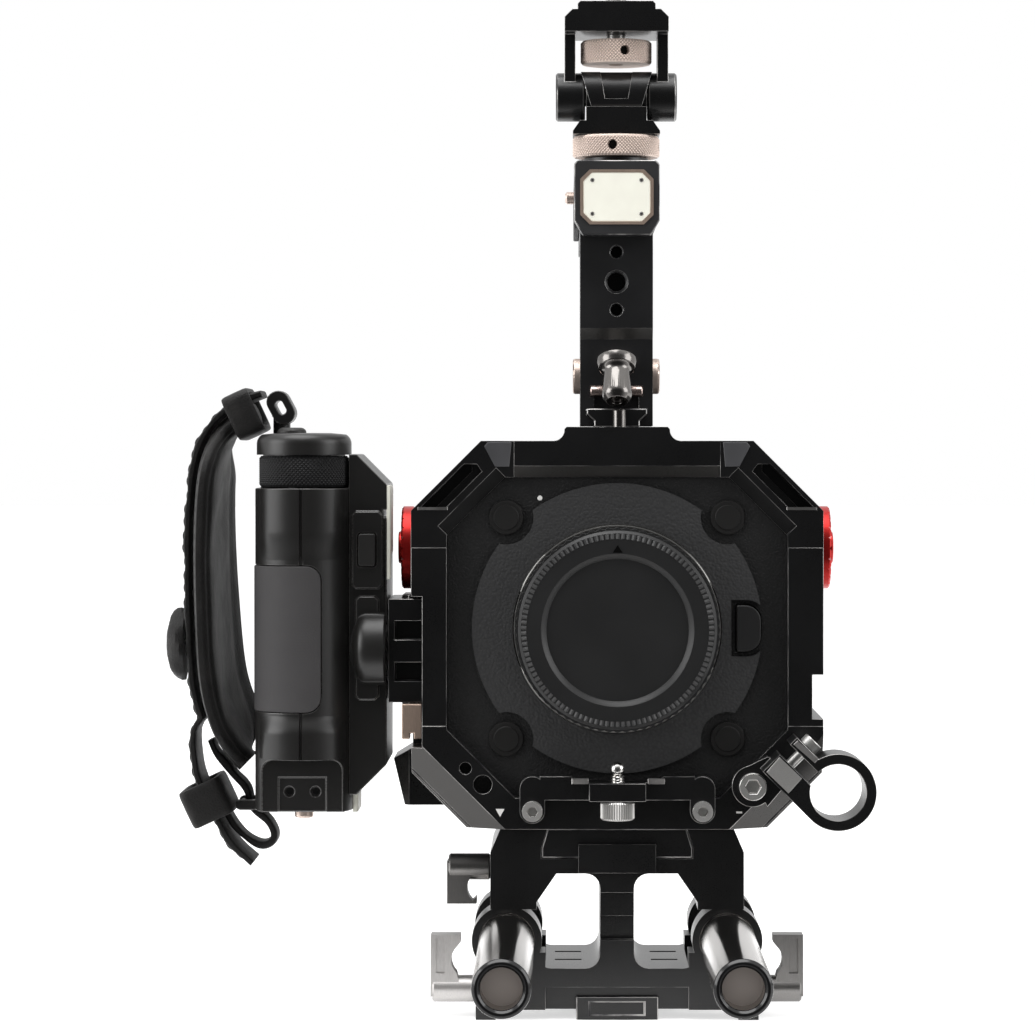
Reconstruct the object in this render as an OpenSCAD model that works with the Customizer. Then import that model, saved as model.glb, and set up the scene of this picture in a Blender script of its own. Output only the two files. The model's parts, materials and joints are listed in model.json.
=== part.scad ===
// Cinema camera rig: box camera in a cage, on a two-rod base, with a top handle,
// a tilting monitor bracket, a swivelling side grip with a hand strap and a rod holder.
// The front faces -Y, up is +Z, and the origin is the mouth of the tripod thread.

/* [Rods and base] */
// Diameter of the two support rods
rod_d = 15; // [14:0.5:16]
// Distance between the rods, centre to centre
rod_pitch = 60; // [58:0.5:64]
// Height of the rods over the standing face
rod_h = 21.5; // [20:0.5:24]
// Length of each rod
rod_len = 160; // [140:5:220]
// Length of rod in front of the base
rod_front = 90; // [60:5:110]
// Depth of the base from front to back
base_d = 48; // [44:1:56]
// Depth of each rod ring
ring_len = 12; // [10:0.5:15]
// Wall of the rod rings
ring_wall = 2; // [1.5:0.25:3]
// Width of the clamp slits
clamp_slit = 2; // [1:0.25:3]
// Height of the lower plate over the standing face
sill_h = 14; // [13:0.5:16]
// Thickness of the bridge under the cage
bridge_t = 12.2; // [11:0.2:14]
// Width of the middle column
column_w = 9.2; // [7:0.2:12]
// Width of the sliding plate
plate_w = 41; // [36:1:44]
// Thickness of the sliding plate
plate_t = 8; // [6:0.5:9]

/* [Camera] */
// Height of the lens axis over the rods
lens_rise = 85; // [83:0.5:90]
// Width of the camera
cam_w = 93; // [91:0.5:97]
// Camera body above the lens axis
cam_above = 45.5; // [44.5:0.5:48]
// Camera body below the lens axis
cam_below = 47.5; // [46:0.5:50]
// Depth of the camera body
cam_d = 72; // [66:1:90]
// Diameter of the plate round the lens mount
surround_d = 79; // [76:0.5:82]
// Diameter of the body cap
cap_d = 55.4; // [52:0.2:58]
// Height of the body cap
cap_h = 8.3; // [7:0.1:11]
// Distance between the rubber plugs, across and down
plug_pitch = 60.3; // [58:0.1:62]
// Width of the battery
battery_w = 40; // [36:1:46]
// Height of the battery
battery_h = 60; // [54:1:66]

/* [Cage] */
// Thickness of the side plates
side_t = 9.4; // [8.6:0.2:12]
// Thickness of the top plate
top_t = 5.5; // [5:0.25:8]
// Thickness of the bottom plate
bottom_t = 7; // [6:0.25:9]
// Depth of the cage
cage_d = 62; // [58:1:74]
// How far the front lip stands ahead of the camera
cage_lip = 4; // [3:0.25:6]
// Bevel of the upper corners
top_cut = 19; // [17:0.5:20]
// Bevel of the lower corners
bottom_cut = 15; // [13:0.5:16]
// Diameter of the side rosettes
rosette_d = 23; // [20:0.5:25]
// Number of teeth on a rosette
rosette_teeth = 24; // [16:1:28]

/* [Top handle] */
// Width of the handle post
handle_w = 20; // [18.5:0.5:23]
// Depth of the handle post
post_d = 26; // [24:1:30]
// Height of the handle over the cage
handle_h = 72.5; // [68:0.5:90]
// Length of the handle from front to back
handle_len = 118; // [105:1:140]
// Height of the hand grip
bar_h = 20; // [18:0.5:24]
// Width of the handle's head block
head_w = 23.4; // [22:0.2:26]
// Height of the handle's head block
head_h = 20.5; // [18:0.5:24]

/* [Monitor bracket] */
// Diameter of the lower locking ring
lock_d = 24.2; // [22:0.2:26]
// Height of the lower locking ring
lock_h = 5.8; // [5:0.1:7]
// Height of the tilt axis over the locking ring
tilt_rise = 11; // [10.6:0.1:13]
// Diameter of the tilt barrel
tilt_d = 13.4; // [12.4:0.2:14]
// Width over the tilt barrel
tilt_w = 33.4; // [32:0.2:38]
// Width over the yoke's arms
yoke_w = 28.6; // [27.6:0.2:31]
// Thickness of the yoke's arms
arm_t = 3; // [2.5:0.1:3.4]
// Diameter of the screw wheel
wheel_d = 19.8; // [18:0.2:20]
// Height of the screw wheel
wheel_h = 6.4; // [5.6:0.1:7]
// Diameter of the monitor screw
screw_d = 6.35; // [5.8:0.05:7]

/* [Side grip] */
// Width of the grip
grip_w = 27; // [25:0.5:30]
// Depth of the grip from front to back
grip_d = 53.5; // [50:0.5:60]
// Height of the grip shell
grip_h = 89; // [85:1:100]
// Diameter of the focus wheel
focus_d = 25; // [23:0.2:25.4]
// Height of the focus wheel
focus_h = 8.6; // [7:0.2:11]
// Height of the top cap
crown_h = 6; // [5:0.2:8]
// Width of the inner housing
housing_w = 9.6; // [9:0.2:12]
// Thickness of the rubber panel
panel_t = 1.4; // [1:0.1:2]
// Diameter of the swivel pin
pivot_d = 8; // [6:0.2:9]

/* [Hand strap] */
// Thickness of the padded strap
pad_t = 6; // [4:0.5:7]
// Width of the padded strap
pad_w = 44; // [38:1:50]
// Thickness of the outer band
band_t = 2; // [1.5:0.1:2.4]
// Width of the outer band
band_w = 20; // [16:1:24]

/* [Rod holder] */
// Wall of the holder's ring
holder_wall = 2.75; // [2.5:0.25:3.5]
// Depth of the holder
holder_d = 16; // [14:0.5:20]

/* [Hidden] */
$fn = 48;

// Clearances: running fits, sliding fits, and seats between fixed pieces
run = 0.05;
slide = 0.15;
seat = 0.1;
apart = 0.3;
over = 1;

// The reach of cuts and bands that run right through
far = 200;

// Threads: drilled radius for a quarter-inch and a three-eighths thread
quarter_r = 2.55;
three_eighths_r = 4;

// Places along the depth
base_y = base_d / 2;
face_back = 2;
face_y = -base_y + face_back;
cage_y0 = face_y - cage_lip;
cage_y1 = cage_y0 + cage_d;

// Places up the height
lens_z = rod_h + lens_rise;
cam_z0 = lens_z - cam_below;
cam_z1 = lens_z + cam_above;
cage_z0 = cam_z0 - bottom_t;
cage_z1 = cam_z1 + top_t;

// Places across the width
rod_x = rod_pitch / 2;
cam_x = cam_w / 2;
cage_in = cam_x + seat;
cage_x = cage_in + side_t;

// Corner bevels of the camera body and of the lip's opening, which clears the plugs
plug_r = 4.8;
plug_room = [3.2, 4.7];
cam_cut_top = 11.8;
cam_cut_bottom = 9.6;
lip_edge = 0.3;
lip_rise = 1.5;
lip_top = 4.4;
lip_bevel = 3.1;
lip_x = cage_in - lip_edge;
plug_reach = [for (room = plug_room) plug_pitch + sqrt(2) * (plug_r + room)];
lip_cut_top = lip_x + cam_above - lip_top - plug_reach[0];
lip_cut_bottom = lip_x + cam_below - lip_rise - plug_reach[1];

// Seams between the cage's pieces
top_half = 28;
side_z0 = lens_z - 26.5;
side_z1 = cage_z1 - top_cut;
lip_seam_z = lens_z + 22;

// Rod rings and the clamp jaws under them
ring_r = rod_d / 2 + run + ring_wall;
jaw_in = 10.5;
jaw_out = 8.5;
jaw_z0 = 2.7;
foot_ridge = 5.5;
lever_r = 3.65;
lever_hub = 11.6;
lever_arm = 15;
lever_w = 8.2;
lever_t = 6;
lever_pin_r = 2;
lever_z = 7.8;
lever_y = -base_y + ring_len / 2;
plate_lever_drop = 12.5;
plate_lever_y = -4;
plate_lever_arm = 10;
plate_lever_pin = 9;

// Bridge, legs and windows of the base
leg_out = 4.5;
leg_in = 8.1;
bridge_bevel = [2.7, 6.3];
window_r = 4;
knee = [5.4, 7.8];
bridge_z = cage_z0 - seat;
window_z1 = cage_z0 - bridge_t;
plate_z0 = cage_z0 - plate_t;
plate_undercut = 1.6;
plate_back = 12;
badge_w = 21;
badge_h = 7.8;
badge_t = 1.6;
sill_slot = [7.4, 2.2, 6];
foot_w = 22.4;
foot_lip = 6.2;
tripod_depth = 11;
large_thread_y = 15;
rod_thread = [5.3, 8];
rod_bevel = 0.8;
rod_joint = 3;
joint_groove = 0.4;

// Lens mount parts
surround_t = 1.6;
throat_r = 19;
throat_d = 18;
mount_d = 57;
mount_t = 3;
plug_t = 1.1;
scallop_r = 7.4;
cap_gap = 0.2;
cap_ribs = 72;
cap_disc_r = 19.8;
cap_plug_d = 5;
release_x = 35.8;
release_w = 6.6;
release_h = 12.6;
release_rim = 1.4;
release_out = 1.2;
release_travel = 1.5;
sensor = [24, 1.6, 20];
battery_in = 20;
battery_out = 12;
terminal_r = 4.8;
terminal_len = 9;
terminal_x = 34;

// Lens support under the mount
support_w = 42;
support_z0 = cage_z0 + 8.4;
support_h = 6.4;
support_t = 5;
support_nose = 9;
support_lug_x = 23;
support_lug_z = cage_z0 + 5.5;
support_lug_r = 3.4;
jack_r = 2;
jack_wheel_r = 4.6;
jack_y = cage_y0 - jack_wheel_r - apart;
jack_wheel_h = 5;
jack_tip = 4;
cap_screw_r = 2.75;
cap_screw_h = 2.6;
cap_screw_pin = 1.5;
cap_screw_len = 7;

// Cage fittings
corner_room = 5.065;
corner_skew = 2.9;
corner_half = (plug_reach[1] + corner_room) / 2;
corner_hole = [corner_half - corner_skew, lens_z - corner_half - corner_skew];
small_hole = corner_hole + [4.7, 4.4];
small_hole_r = 1.65;
pocket_rim = 1.2;
pocket_w = 4.9;
pocket_step = 2;
pocket_z = [0.5, 12.7];
pocket_deep = [3.4, 9];
strut_bevel = 3.5;
strut_in = (cage_x + cage_z1 - top_cut - lens_z - plug_reach[0]) / sqrt(2);
corner_slot = [12, 30, 2.4];
corner_slot_back = 6;
edge_bevel = 4.3;
rosette_y = 4;
rosette_z = lens_z + 21.3;
rosette_t = 3.6;
rosette_hub_r = 4.5;
rosette_hub_t = 1;
tooth_depth = 0.9;
boss_w = 28.6;
boss_h = 3.8;
boss_slope = 3;
boss_bevel = 0.6;
boss_len = 56;
rail_w = 16.4;
rail_neck = 12.4;
rail_h = 5;
rail_len = 52;
rail_set = 4;
top_hole = [22, 0];
side_hole = [-12, lens_z - 7];
port_window = [22, 18];
port_place = [14, lens_z - 2];

// Side rail, clamp and release tab
rail_y = 1;
rail_z0 = lens_z - 22;
rail_z1 = lens_z + 8.6;
rail_seat = 3;
side_rail = [8, 10.2, 8.2];
side_rail_x = [0, 2.2, 4.2, 6.2];
clamp_y0 = rail_y - 15.5;
clamp_y1 = rail_y + 15.5;
clamp_z0 = lens_z - 20.8;
clamp_z1 = lens_z + 7.6;
clamp_back = 3.3;
comb_slot = [5.2, 5, 7.6];
comb_z = [lens_z - 1, lens_z - 12.4];
tab = [5.6, 3.2, 9.6];
tab_notch = [1, 1.6];
tab_back = 9;
tab_travel = 1.2;
guard_y0 = cage_y1 - 26;
guard_out = 6.5;
guard_rise = 3.2;
guard_facet = 4.5;

// Handle parts
handle_y0 = face_y + 8;
handle_x = handle_w / 2;
boss_z = cage_z1 + boss_h;
foot_z = boss_z + apart;
handle_z1 = boss_z + handle_h;
bar_z0 = handle_z1 - bar_h;
knuckle_in = 2;
knuckle_rise = 3;
inner_fillet = 12;
bar_end_r = 7;
bar_grooves = 4;
groove_r = 16;
groove_depth = 1.8;
latch_z = foot_z + 18;
latch_disc_r = 5.5;
latch_disc_t = 1.2;
latch_neck = [3.6, 4.6];
knuckle_z = latch_z + latch_disc_r + 0.4;
latch_arm_r = 4.1;
latch_end_r = 2.9;
latch_arm = 13.5;
latch_socket = 1.4;
latch_tilt = 58;
latch_slot = [12.4, 3.5, 10];
latch_pin_r = 2.5;
latch_pin_len = 8;
press_z = foot_z + 13.8;
press_y = handle_y0 + 9;
press_r = 4.9;
press_out = 2;
press_in = 2.5;
press_travel = 1.2;
cross_pin_z = foot_z + 9.6;
cross_pin_r = 1.5;
cross_pin_w = 14.4;
front_holes = [[31.9, 1.6, 0.3], [39.6, quarter_r, 0.7], [47.8, 1.6, 0.3]];
front_hole_d = 12;
head_t = 6;
head_bevel = [2.4, 4];
name_plate = [18.6, 13.6];
name_drop = 3.3;
name_cut = 2.2;
name_t = 1.4;
name_proud = 0.3;
pad_len = 72;
pad_h = 15;
pad_out = 1.6;
pad_y0 = 30;

// Monitor bracket
pan_y = handle_y0 + 9;
head_z1 = handle_z1 + 0.4;
collar_h = 1.8;
lock_z0 = handle_z1 + collar_h + apart;
lock_z1 = lock_z0 + lock_h;
tilt_z0 = lock_z1 + apart;
tilt_z = lock_z1 + tilt_rise;
stud_r = 3.1;
stud_len = 15;
base_flange = [24, 16, 0.8];
flange_top = 20;
shield = [9.8, 5.9, 1.6];
shield_pocket = [4.6, 3.2, 7.6, 0.6];
neck_w = 16.6;
knuckle_r = tilt_d / 2 - 0.2;
shaft_r = 2.5;
shaft_end = 1.2;
arm_d = 11;
yoke_rise = 17;
yoke_t = 8.4;
yoke_d = 24;
yoke_top_w = 21.4;
yoke_shoulder = [6.2, 2.2];
yoke_bevel = 0.8;
wheel_rise = 9;
monitor_screw = 5.6;
screw_neck = 0.5;
screw_bevel = 0.5;
tommy_r = 1.2;
tommy_depth = 4;

// Side grip
grip_r = grip_w / 2;
housing_x1 = cage_in + side_t - rail_seat + side_rail_x[3] + clamp_back + slide + 2 * apart;
grip_x = -(housing_x1 + housing_w + grip_r);
grip_y = face_y + 2.5 + grip_r;
grip_back = grip_y - grip_r + grip_d;
grip_z0 = cage_z0 + 3.5;
grip_z1 = grip_z0 + grip_h;
grip_corner = 9;
focus_z1 = grip_z1 + apart + focus_h;
crown_z0 = focus_z1 + apart;
crown_z1 = crown_z0 + crown_h;
axle_r = 6;
peg_r = 4;
peg_len = 5;
nape_z1 = crown_z0 - 1.5;
nape_gap = 1;
panel_z0 = lens_z - 23.4;
panel_z1 = lens_z + 16.8;
panel_w = 19;
panel_back = 20;
panel_proud = 0.3;
panel_corner = 4;
seam_w = 0.7;
seam_depth = 0.6;
chin = [22.3, 5.9, 14.5];
chin_r = 3.2;
chin_pocket = [13, 9.5, 0.5];
chin_screw = [7.2, 5.6, 1.35];
housing_front = 5;
housing_bevel = 8.4;
housing_z0 = cage_z0 + 8;
housing_z1 = crown_z0 + 0.2;
boss_r = 9.4;
pivot_y = grip_y + 1;
pivot_z = lens_z - 6;
pivot_len = housing_w - 0.5;
mode_button = [4.8, 9, 3.4];
mode_z = lens_z + 21;
mode_travel = 0.8;
mode_frame = 1.1;
mode_x = -housing_x1 - housing_w / 2 - 0.6;
housing_raise = 1.6;
mode_block = [8.2, 21.2];
pivot_block = [6.2, 28.4];
record_r = 4;
record_x = -3.4;
record_out = 1.5;
record_len = 4;
record_travel = 1;
knob_r = 2.6;
knob_out = 2.2;
knob_len = 6;
knob_travel = 1.5;

// Hand strap: the middle line of the pad in the plane across the rig, from the top down,
// as offsets from the grip's left side and from the lens axis
strap_y = grip_y + 16;
strap_line = [[1.6, 58.2], [-5.5, 58.2], [-10.8, 53], [-14, 43], [-15.2, 28], [-15.2, 7], [-14, -15],
    [-10.8, -28], [-6.2, -36], [-3.4, -39]];
pad_wrap = [2, 9];
pad_edge = 0.45;
pad_end = 0.5;
pad_taper = [0.12, 0.03, 0.2];
band_drop = 9;
tail_line = [[-17, -30], [-16.7, -37.5], [-15.2, -43.7], [-10.15, -54.6], [-6, -61.3], [-0.8, -66]];
loop_line = [[-12, -44.4], [-8, -53], [-4, -58.5], [0.5, -61], [3.2, -59.8], [2, -56.4], [-2.4, -52.4],
    [-4.4, -47], [-8.2, -42.6], [-12.4, -37.4], [-14.4, -33]];
loop_w = 10;
lug_z = -50.6;
lug_r = 1.5;
lug_out = 4.9;
lug_bar_r = 0.8;
stud_z = -5.7;
stud_disc_r = 10.6;
stud_h = 5.6;
strap_left = grip_x - grip_r;
anchor = [6.4, 9, 9.8];
anchor_hole = [2.2, 4];
anchor_x = strap_left + 6.1;
anchor_z = lens_z + 60.4;
anchor_tilt = -28;
keeper_wall = 2;
keeper_len = [5.6, 11];
keeper_slack = 3.4;
keeper_at = [[-1.4, 59.4], [-14.2, -49.7]];
keeper_turn = [90, -25];

// Rod holder
holder_x = cage_x + 2.8;
holder_z = cage_z0 + 11.5;
holder_r = rod_d / 2 + run;
holder_slit = 3.8;
ear = [9, 18.2];
ear_low = 6.4;
ear_high = 2.6;
flange_t = 5;
flange_r = 5.6;
holder_screw_u = 13.6;
corner_screw_r = 3.7;
corner_screw_h = 2.6;
corner_screw_pin = 2.5;

// Points of an arc round a centre, from one angle to another
function arc(c, r, a0, a1, n = 6) =
    [for (i = [0:n]) c + r * [cos(a0 + (a1 - a0) * i / n), sin(a0 + (a1 - a0) * i / n)]];

// Outline of a rectangle with round corners, centred
function round_rect(w, h, r) = concat(
    arc([w / 2 - r, h / 2 - r], r, 0, 90), arc([r - w / 2, h / 2 - r], r, 90, 180),
    arc([r - w / 2, r - h / 2], r, 180, 270), arc([w / 2 - r, r - h / 2], r, 270, 360));

// Outline of a rectangle with cut corners, centred
function cut_rect(w, h, c) = [[w / 2 - c, h / 2], [c - w / 2, h / 2], [-w / 2, h / 2 - c],
    [-w / 2, c - h / 2], [c - w / 2, -h / 2], [w / 2 - c, -h / 2], [w / 2, c - h / 2],
    [w / 2, h / 2 - c]];

// Octagon about the lens axis: half width, lowest, highest, upper and lower bevel
function octagon(x, z0, z1, top, bottom) =
    mirrored([[x - bottom, z0], [x, z0 + bottom], [x, z1 - top], [x - top, z1]]);

// A right half outline, from the bottom up, closed with its mirror image
function mirrored(p) = concat(p, [for (i = [len(p) - 1:-1:0]) [-p[i][0], p[i][1]]]);

// An outline drawn in X and Z, carried from y0 to y1
module along_y(y0, y1) {
    translate([0, y1, 0]) rotate([90, 0, 0]) linear_extrude(y1 - y0) children();
}

// An outline drawn in Y and Z, carried from x0 to x1
module along_x(x0, x1) {
    translate([x0, 0, 0]) rotate([90, 0, 90]) linear_extrude(x1 - x0) children();
}

// An outline drawn in X and Y, carried from z0 to z1
module along_z(z0, z1) {
    translate([0, 0, z0]) linear_extrude(z1 - z0) children();
}

module pin_x(y, z, r, x0, x1) {
    translate([x0, y, z]) rotate([0, 90, 0]) cylinder(r = r, h = x1 - x0);
}

module pin_y(x, z, r, y0, y1) {
    translate([x, y1, z]) rotate([90, 0, 0]) cylinder(r = r, h = y1 - y0);
}

module pin_z(x, y, r, z0, z1) {
    translate([x, y, z0]) cylinder(r = r, h = z1 - z0);
}

module box(low, high) {
    translate(low) cube(high - low);
}

// A profile of radius against Y, turned about the line x, z
module turned_y(x, z) {
    translate([x, 0, z]) rotate([-90, 0, 0]) rotate_extrude() children();
}

// A profile of radius against X, turned about the line y, z
module turned_x(y, z) {
    translate([0, y, z]) rotate([0, 90, 0]) rotate_extrude() children();
}

// A disc with bevelled edges between two heights
module bevelled_disc(r, h0, h1, c) {
    polygon([[0, h0], [r - c, h0], [r, h0 + c], [r, h1 - c], [r - c, h1], [0, h1]]);
}

// Base

module window_outline() {
    x0 = column_w / 2;
    x1 = rod_x - leg_in;
    polygon(concat(
        arc([x0 + window_r, sill_h + window_r], window_r, 180, 270),
        arc([x1 - window_r, sill_h + window_r], window_r, 270, 360),
        [[x1, window_z1 - knee[1]], [x1 - knee[0], window_z1]],
        arc([x0 + window_r, window_z1 - window_r], window_r, 90, 180)));
}

module plate_outline(grow) {
    polygon(mirrored([[plate_w / 2 + grow, plate_z0 - grow], [plate_w / 2 + grow, plate_z0 + plate_t / 3],
        [plate_w / 2 - plate_undercut + grow, cage_z0]]));
}

module rod_ring(side, y0) {
    x = side * rod_x;
    pin_y(x, rod_h, ring_r, y0, y0 + ring_len);
    x_in = side * (rod_x - jaw_in);
    x_out = side * (rod_x + jaw_out);
    box([min(x_in, x_out), y0, jaw_z0], [max(x_in, x_out), y0 + ring_len, rod_h - ring_r / 3]);
    x_ridge = side * (rod_x + jaw_out - foot_ridge);
    box([min(x_ridge, x_out), y0, 0], [max(x_ridge, x_out), y0 + ring_len, rod_h - ring_r / 3]);
}

module base_arch() {
    leg = rod_x + leg_out;
    color("#1c1c1e") difference() {
        union() {
            along_y(-base_y, base_y) difference() {
                polygon(mirrored([[rod_x - jaw_in, jaw_z0], [rod_x - jaw_in, rod_h + ring_r - 1],
                    [leg, rod_h + ring_r - 1], [leg, bridge_z - bridge_bevel[1]],
                    [leg - bridge_bevel[0], bridge_z]]));
                window_outline();
                mirror([1, 0]) window_outline();
            }
            for (side = [-1, 1], y0 = [-base_y, base_y - ring_len]) {
                rod_ring(side, y0);
            }
            box([-badge_w / 2, -base_y - badge_t, window_z1 + apart],
                [badge_w / 2, -base_y, window_z1 + apart + badge_h]);
        }
        for (side = [-1, 1]) {
            x = side * rod_x;
            pin_y(x, rod_h, rod_d / 2 + run, -base_y - over, base_y + over);
            box([x - clamp_slit / 2, -base_y - over, -over],
                [x + clamp_slit / 2, base_y + over, rod_h]);
            pin_x(lever_y, lever_z, lever_pin_r + run,
                min(x, x + side * (jaw_out + over)) - (side > 0 ? 6 : 0),
                max(x, x + side * (jaw_out + over)) + (side < 0 ? 6 : 0));
            for (y = [-6, 10]) {
                translate([side * (column_w / 2 + window_r + sill_slot[0] / 2 + 1), y, sill_h])
                    cube([sill_slot[0], sill_slot[1], 2 * sill_slot[2]], center = true);
            }
        }
        along_y(-base_y, base_y + over) plate_outline(slide);
        box([-plate_w / 2 + plate_undercut, -base_y, cage_z0 - over],
            [plate_w / 2 - plate_undercut, base_y + over, cage_z0 + over]);
        pin_x(plate_lever_y, cage_z0 - plate_lever_drop, lever_pin_r + run, -leg - over,
            plate_lever_pin - leg);
        pin_z(0, 0, quarter_r, -over, tripod_depth);
        pin_z(0, large_thread_y, three_eighths_r, -over, tripod_depth);
        for (step = [[0.30, 0.55, 2.6], [0.55, 0.8, 1.3]]) {
            h = window_z1 - sill_h;
            box([-column_w, -base_y - over, sill_h + step[0] * h],
                [column_w, -base_y + step[2], sill_h + step[1] * h]);
        }
        box([jaw_in - rod_x, -base_y - over, 0], [rod_x - jaw_in, -base_y + 2, jaw_z0 + foot_lip]);
    }
}

module tripod_foot() {
    color("#202022") difference() {
        union() {
            box([-foot_w / 2, -base_y + 2, 0], [foot_w / 2, base_y, jaw_z0]);
            box([-foot_w / 2, -base_y, 0], [foot_w / 2, -base_y + 2, foot_lip]);
        }
        pin_z(0, 0, quarter_r, -over, jaw_z0 + over);
        pin_z(0, large_thread_y, three_eighths_r, -over, jaw_z0 + over);
        box([-foot_w / 3, -base_y - over, 1.2], [foot_w / 3, -base_y + 0.6, foot_lip - 1.2]);
    }
}

// A rod of two lengths screwed end to end, with a groove where they meet
module rod(side) {
    y0 = -base_y - rod_front;
    y1 = y0 + rod_len;
    joint = -base_y - rod_joint;
    r = rod_d / 2;
    color("#b9b6b4") turned_y(side * rod_x, rod_h)
        polygon([[0, y0 + rod_thread[1]], [rod_thread[0], y0 + rod_thread[1]],
            [rod_thread[0], y0 + rod_bevel], [rod_thread[0] + rod_bevel, y0], [r - rod_bevel, y0],
            [r, y0 + rod_bevel], [r, joint - joint_groove], [r - joint_groove, joint],
            [r, joint + joint_groove], [r, y1 - rod_bevel], [r - rod_bevel, y1],
            [rod_thread[0] + rod_bevel, y1], [rod_thread[0], y1 - rod_bevel],
            [rod_thread[0], y1 - rod_thread[1]], [0, y1 - rod_thread[1]]]);
}

module rod_left() {
    rod(-1);
}

module rod_right() {
    rod(1);
}

// A clamping lever: hub along +X, arm up along +Z, threaded pin along -X
module lever(arm, pin) {
    difference() {
        union() {
            turned_x(0, 0) bevelled_disc(lever_r, 0, lever_hub, 0.5);
            along_y(-lever_t / 2, lever_t / 2) polygon(concat(
                [[lever_hub + 0.4, -lever_r / 2], [lever_hub + 0.4, arm],
                    [lever_hub - lever_w + 0.4, arm],
                [lever_hub - lever_w + 0.4, arm - 2]],
                arc([lever_hub - lever_w - 2, arm / 2 + 0.6], 5, 45, -45, 8),
                [[lever_hub - lever_w, -lever_r / 2]]));
        }
        along_y(-lever_t, -lever_t / 2 + 0.8)
            polygon([[lever_hub - 1, lever_r + 0.8], [lever_hub - 1, arm - 1],
            [lever_hub - 3.4, arm - 1], [lever_hub - 3.4, lever_r + 0.8]]);
    }
    pin_x(0, 0, lever_pin_r, -pin, 1);
}

module lever_left() {
    color("#8a8a8c") translate([-(rod_x + jaw_out + apart), lever_y, lever_z]) mirror([1, 0, 0])
        lever(lever_arm, jaw_out + 5);
}

module lever_right() {
    color("#6c6c70") translate([rod_x + jaw_out + apart, lever_y, lever_z])
        lever(lever_arm, jaw_out + 5);
}

module lever_plate() {
    color("#77777a") translate([-(rod_x + leg_out + apart), plate_lever_y, cage_z0 - plate_lever_drop])
        rotate([180, 0, 0]) mirror([1, 0, 0]) lever(plate_lever_arm, plate_lever_pin - 1);
}

module sliding_plate() {
    color("#262628") along_y(-base_y + seat, base_y + plate_back) plate_outline(0);
}

// Cage

module cage_section() {
    difference() {
        polygon(octagon(cage_x, cage_z0, cage_z1, top_cut, bottom_cut));
        polygon(octagon(cage_in, cam_z0, cam_z1, cam_cut_top, cam_cut_bottom));
    }
}

module lip_section() {
    difference() {
        polygon(octagon(cage_x, cage_z0, cage_z1, top_cut, bottom_cut));
        polygon(octagon(lip_x, cam_z0 + lip_rise, cam_z1 - lip_top, lip_cut_top,
            lip_cut_bottom));
    }
}

module band(x0, x1, z0, z1) {
    translate([x0, z0]) square([x1 - x0, z1 - z0]);
}

// A slice of the cage: its body, and its lip in front of the camera's face
module cage_slice(body, lip) {
    along_y(face_y, cage_y1) intersection() {
        cage_section();
        band(body[0], body[1], body[2], body[3]);
    }
    along_y(cage_y0, face_y) intersection() {
        lip_section();
        band(lip[0], lip[1], lip[2], lip[3]);
    }
}

// Room behind and below the release tab, cut from the cage's left side
module tab_space() {
    box([-cage_x - over, cage_y0 - over, clamp_z0 - tab[2] - 2],
        [rail_seat - cage_x, cage_y0 + tab_back + tab[1] + tab_travel + apart, rail_z0]);
}

module cage_bottom() {
    color("#19191b") difference() {
        union() {
            cage_slice([-far, far, 0, side_z0], [-far, far, 0, side_z0]);
            along_y(guard_y0, cage_y1) polygon([[bottom_cut - cage_x, cage_z0 + guard_rise],
                [-cage_x - guard_out / 2, cage_z0 + guard_rise],
                [-cage_x - guard_out, cage_z0 + 16], [-cage_x, cage_z0 + 20]]);
        }
        along_z(0, side_z0) translate([-cage_x - guard_out, guard_y0])
            polygon([[-over, -over], [guard_facet, -over], [guard_facet, 0], [0, guard_facet], [-over,
                guard_facet]]);
        tab_space();
        for (side = [-1, 1]) {
            mirror([side > 0 ? 1 : 0, 0, 0]) along_bevel([bottom_cut / 2 - cage_x,
                cage_z0 + bottom_cut / 2], 135, far)
                polygon([[edge_bevel, cage_y0 - over], [edge_bevel, cage_y0], [-over,
                    cage_y0 + edge_bevel + over],
                    [-over, cage_y0 - over]]);
            pin_y(side * corner_hole[0], corner_hole[1], quarter_r, cage_y0 - over, face_y + over);
            pin_y(side * support_lug_x, support_lug_z, cap_screw_pin + run, cage_y0 - over,
                cage_y0 + cap_screw_len);
        }
        pin_y(-small_hole[0], small_hole[1], small_hole_r, cage_y0 - over, face_y + over);
    }
}

module side_body(side) {
    x0 = side > 0 ? 0 : -far;
    cage_slice([x0, x0 + far, side_z0, side_z1], [x0, x0 + far, side_z0, lip_seam_z]);
}

module cage_side_left() {
    seat_x = cage_x - rail_seat;
    color("#1a1a1c") difference() {
        side_body(-1);
        box([-cage_x - over, cage_y0 - over, rail_z0 - seat],
            [-seat_x, clamp_y1 + apart + 1, rail_z1 + seat]);
        tab_space();
    }
}

module cage_side_right() {
    color("#1a1a1c") difference() {
        side_body(1);
        box([cage_x - rail_seat, cage_y0 - over, side_z0 + 2],
            [cage_x + over, cage_y1 + over, side_z0 + 14]);
        along_x(cage_in - over, cage_x + over) translate(port_place)
            polygon(round_rect(port_window[0], port_window[1], 4));
        pin_x(side_hole[0], side_hole[1], quarter_r, cage_in - over, cage_x + over);
    }
}

// A prism along a bevelled corner, for the left side: inwards and Y make its outline
module along_bevel(mid, turn, len) {
    translate([mid[0], 0, mid[1]]) rotate([0, turn, 0]) linear_extrude(len, center = true) children();
}

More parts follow.
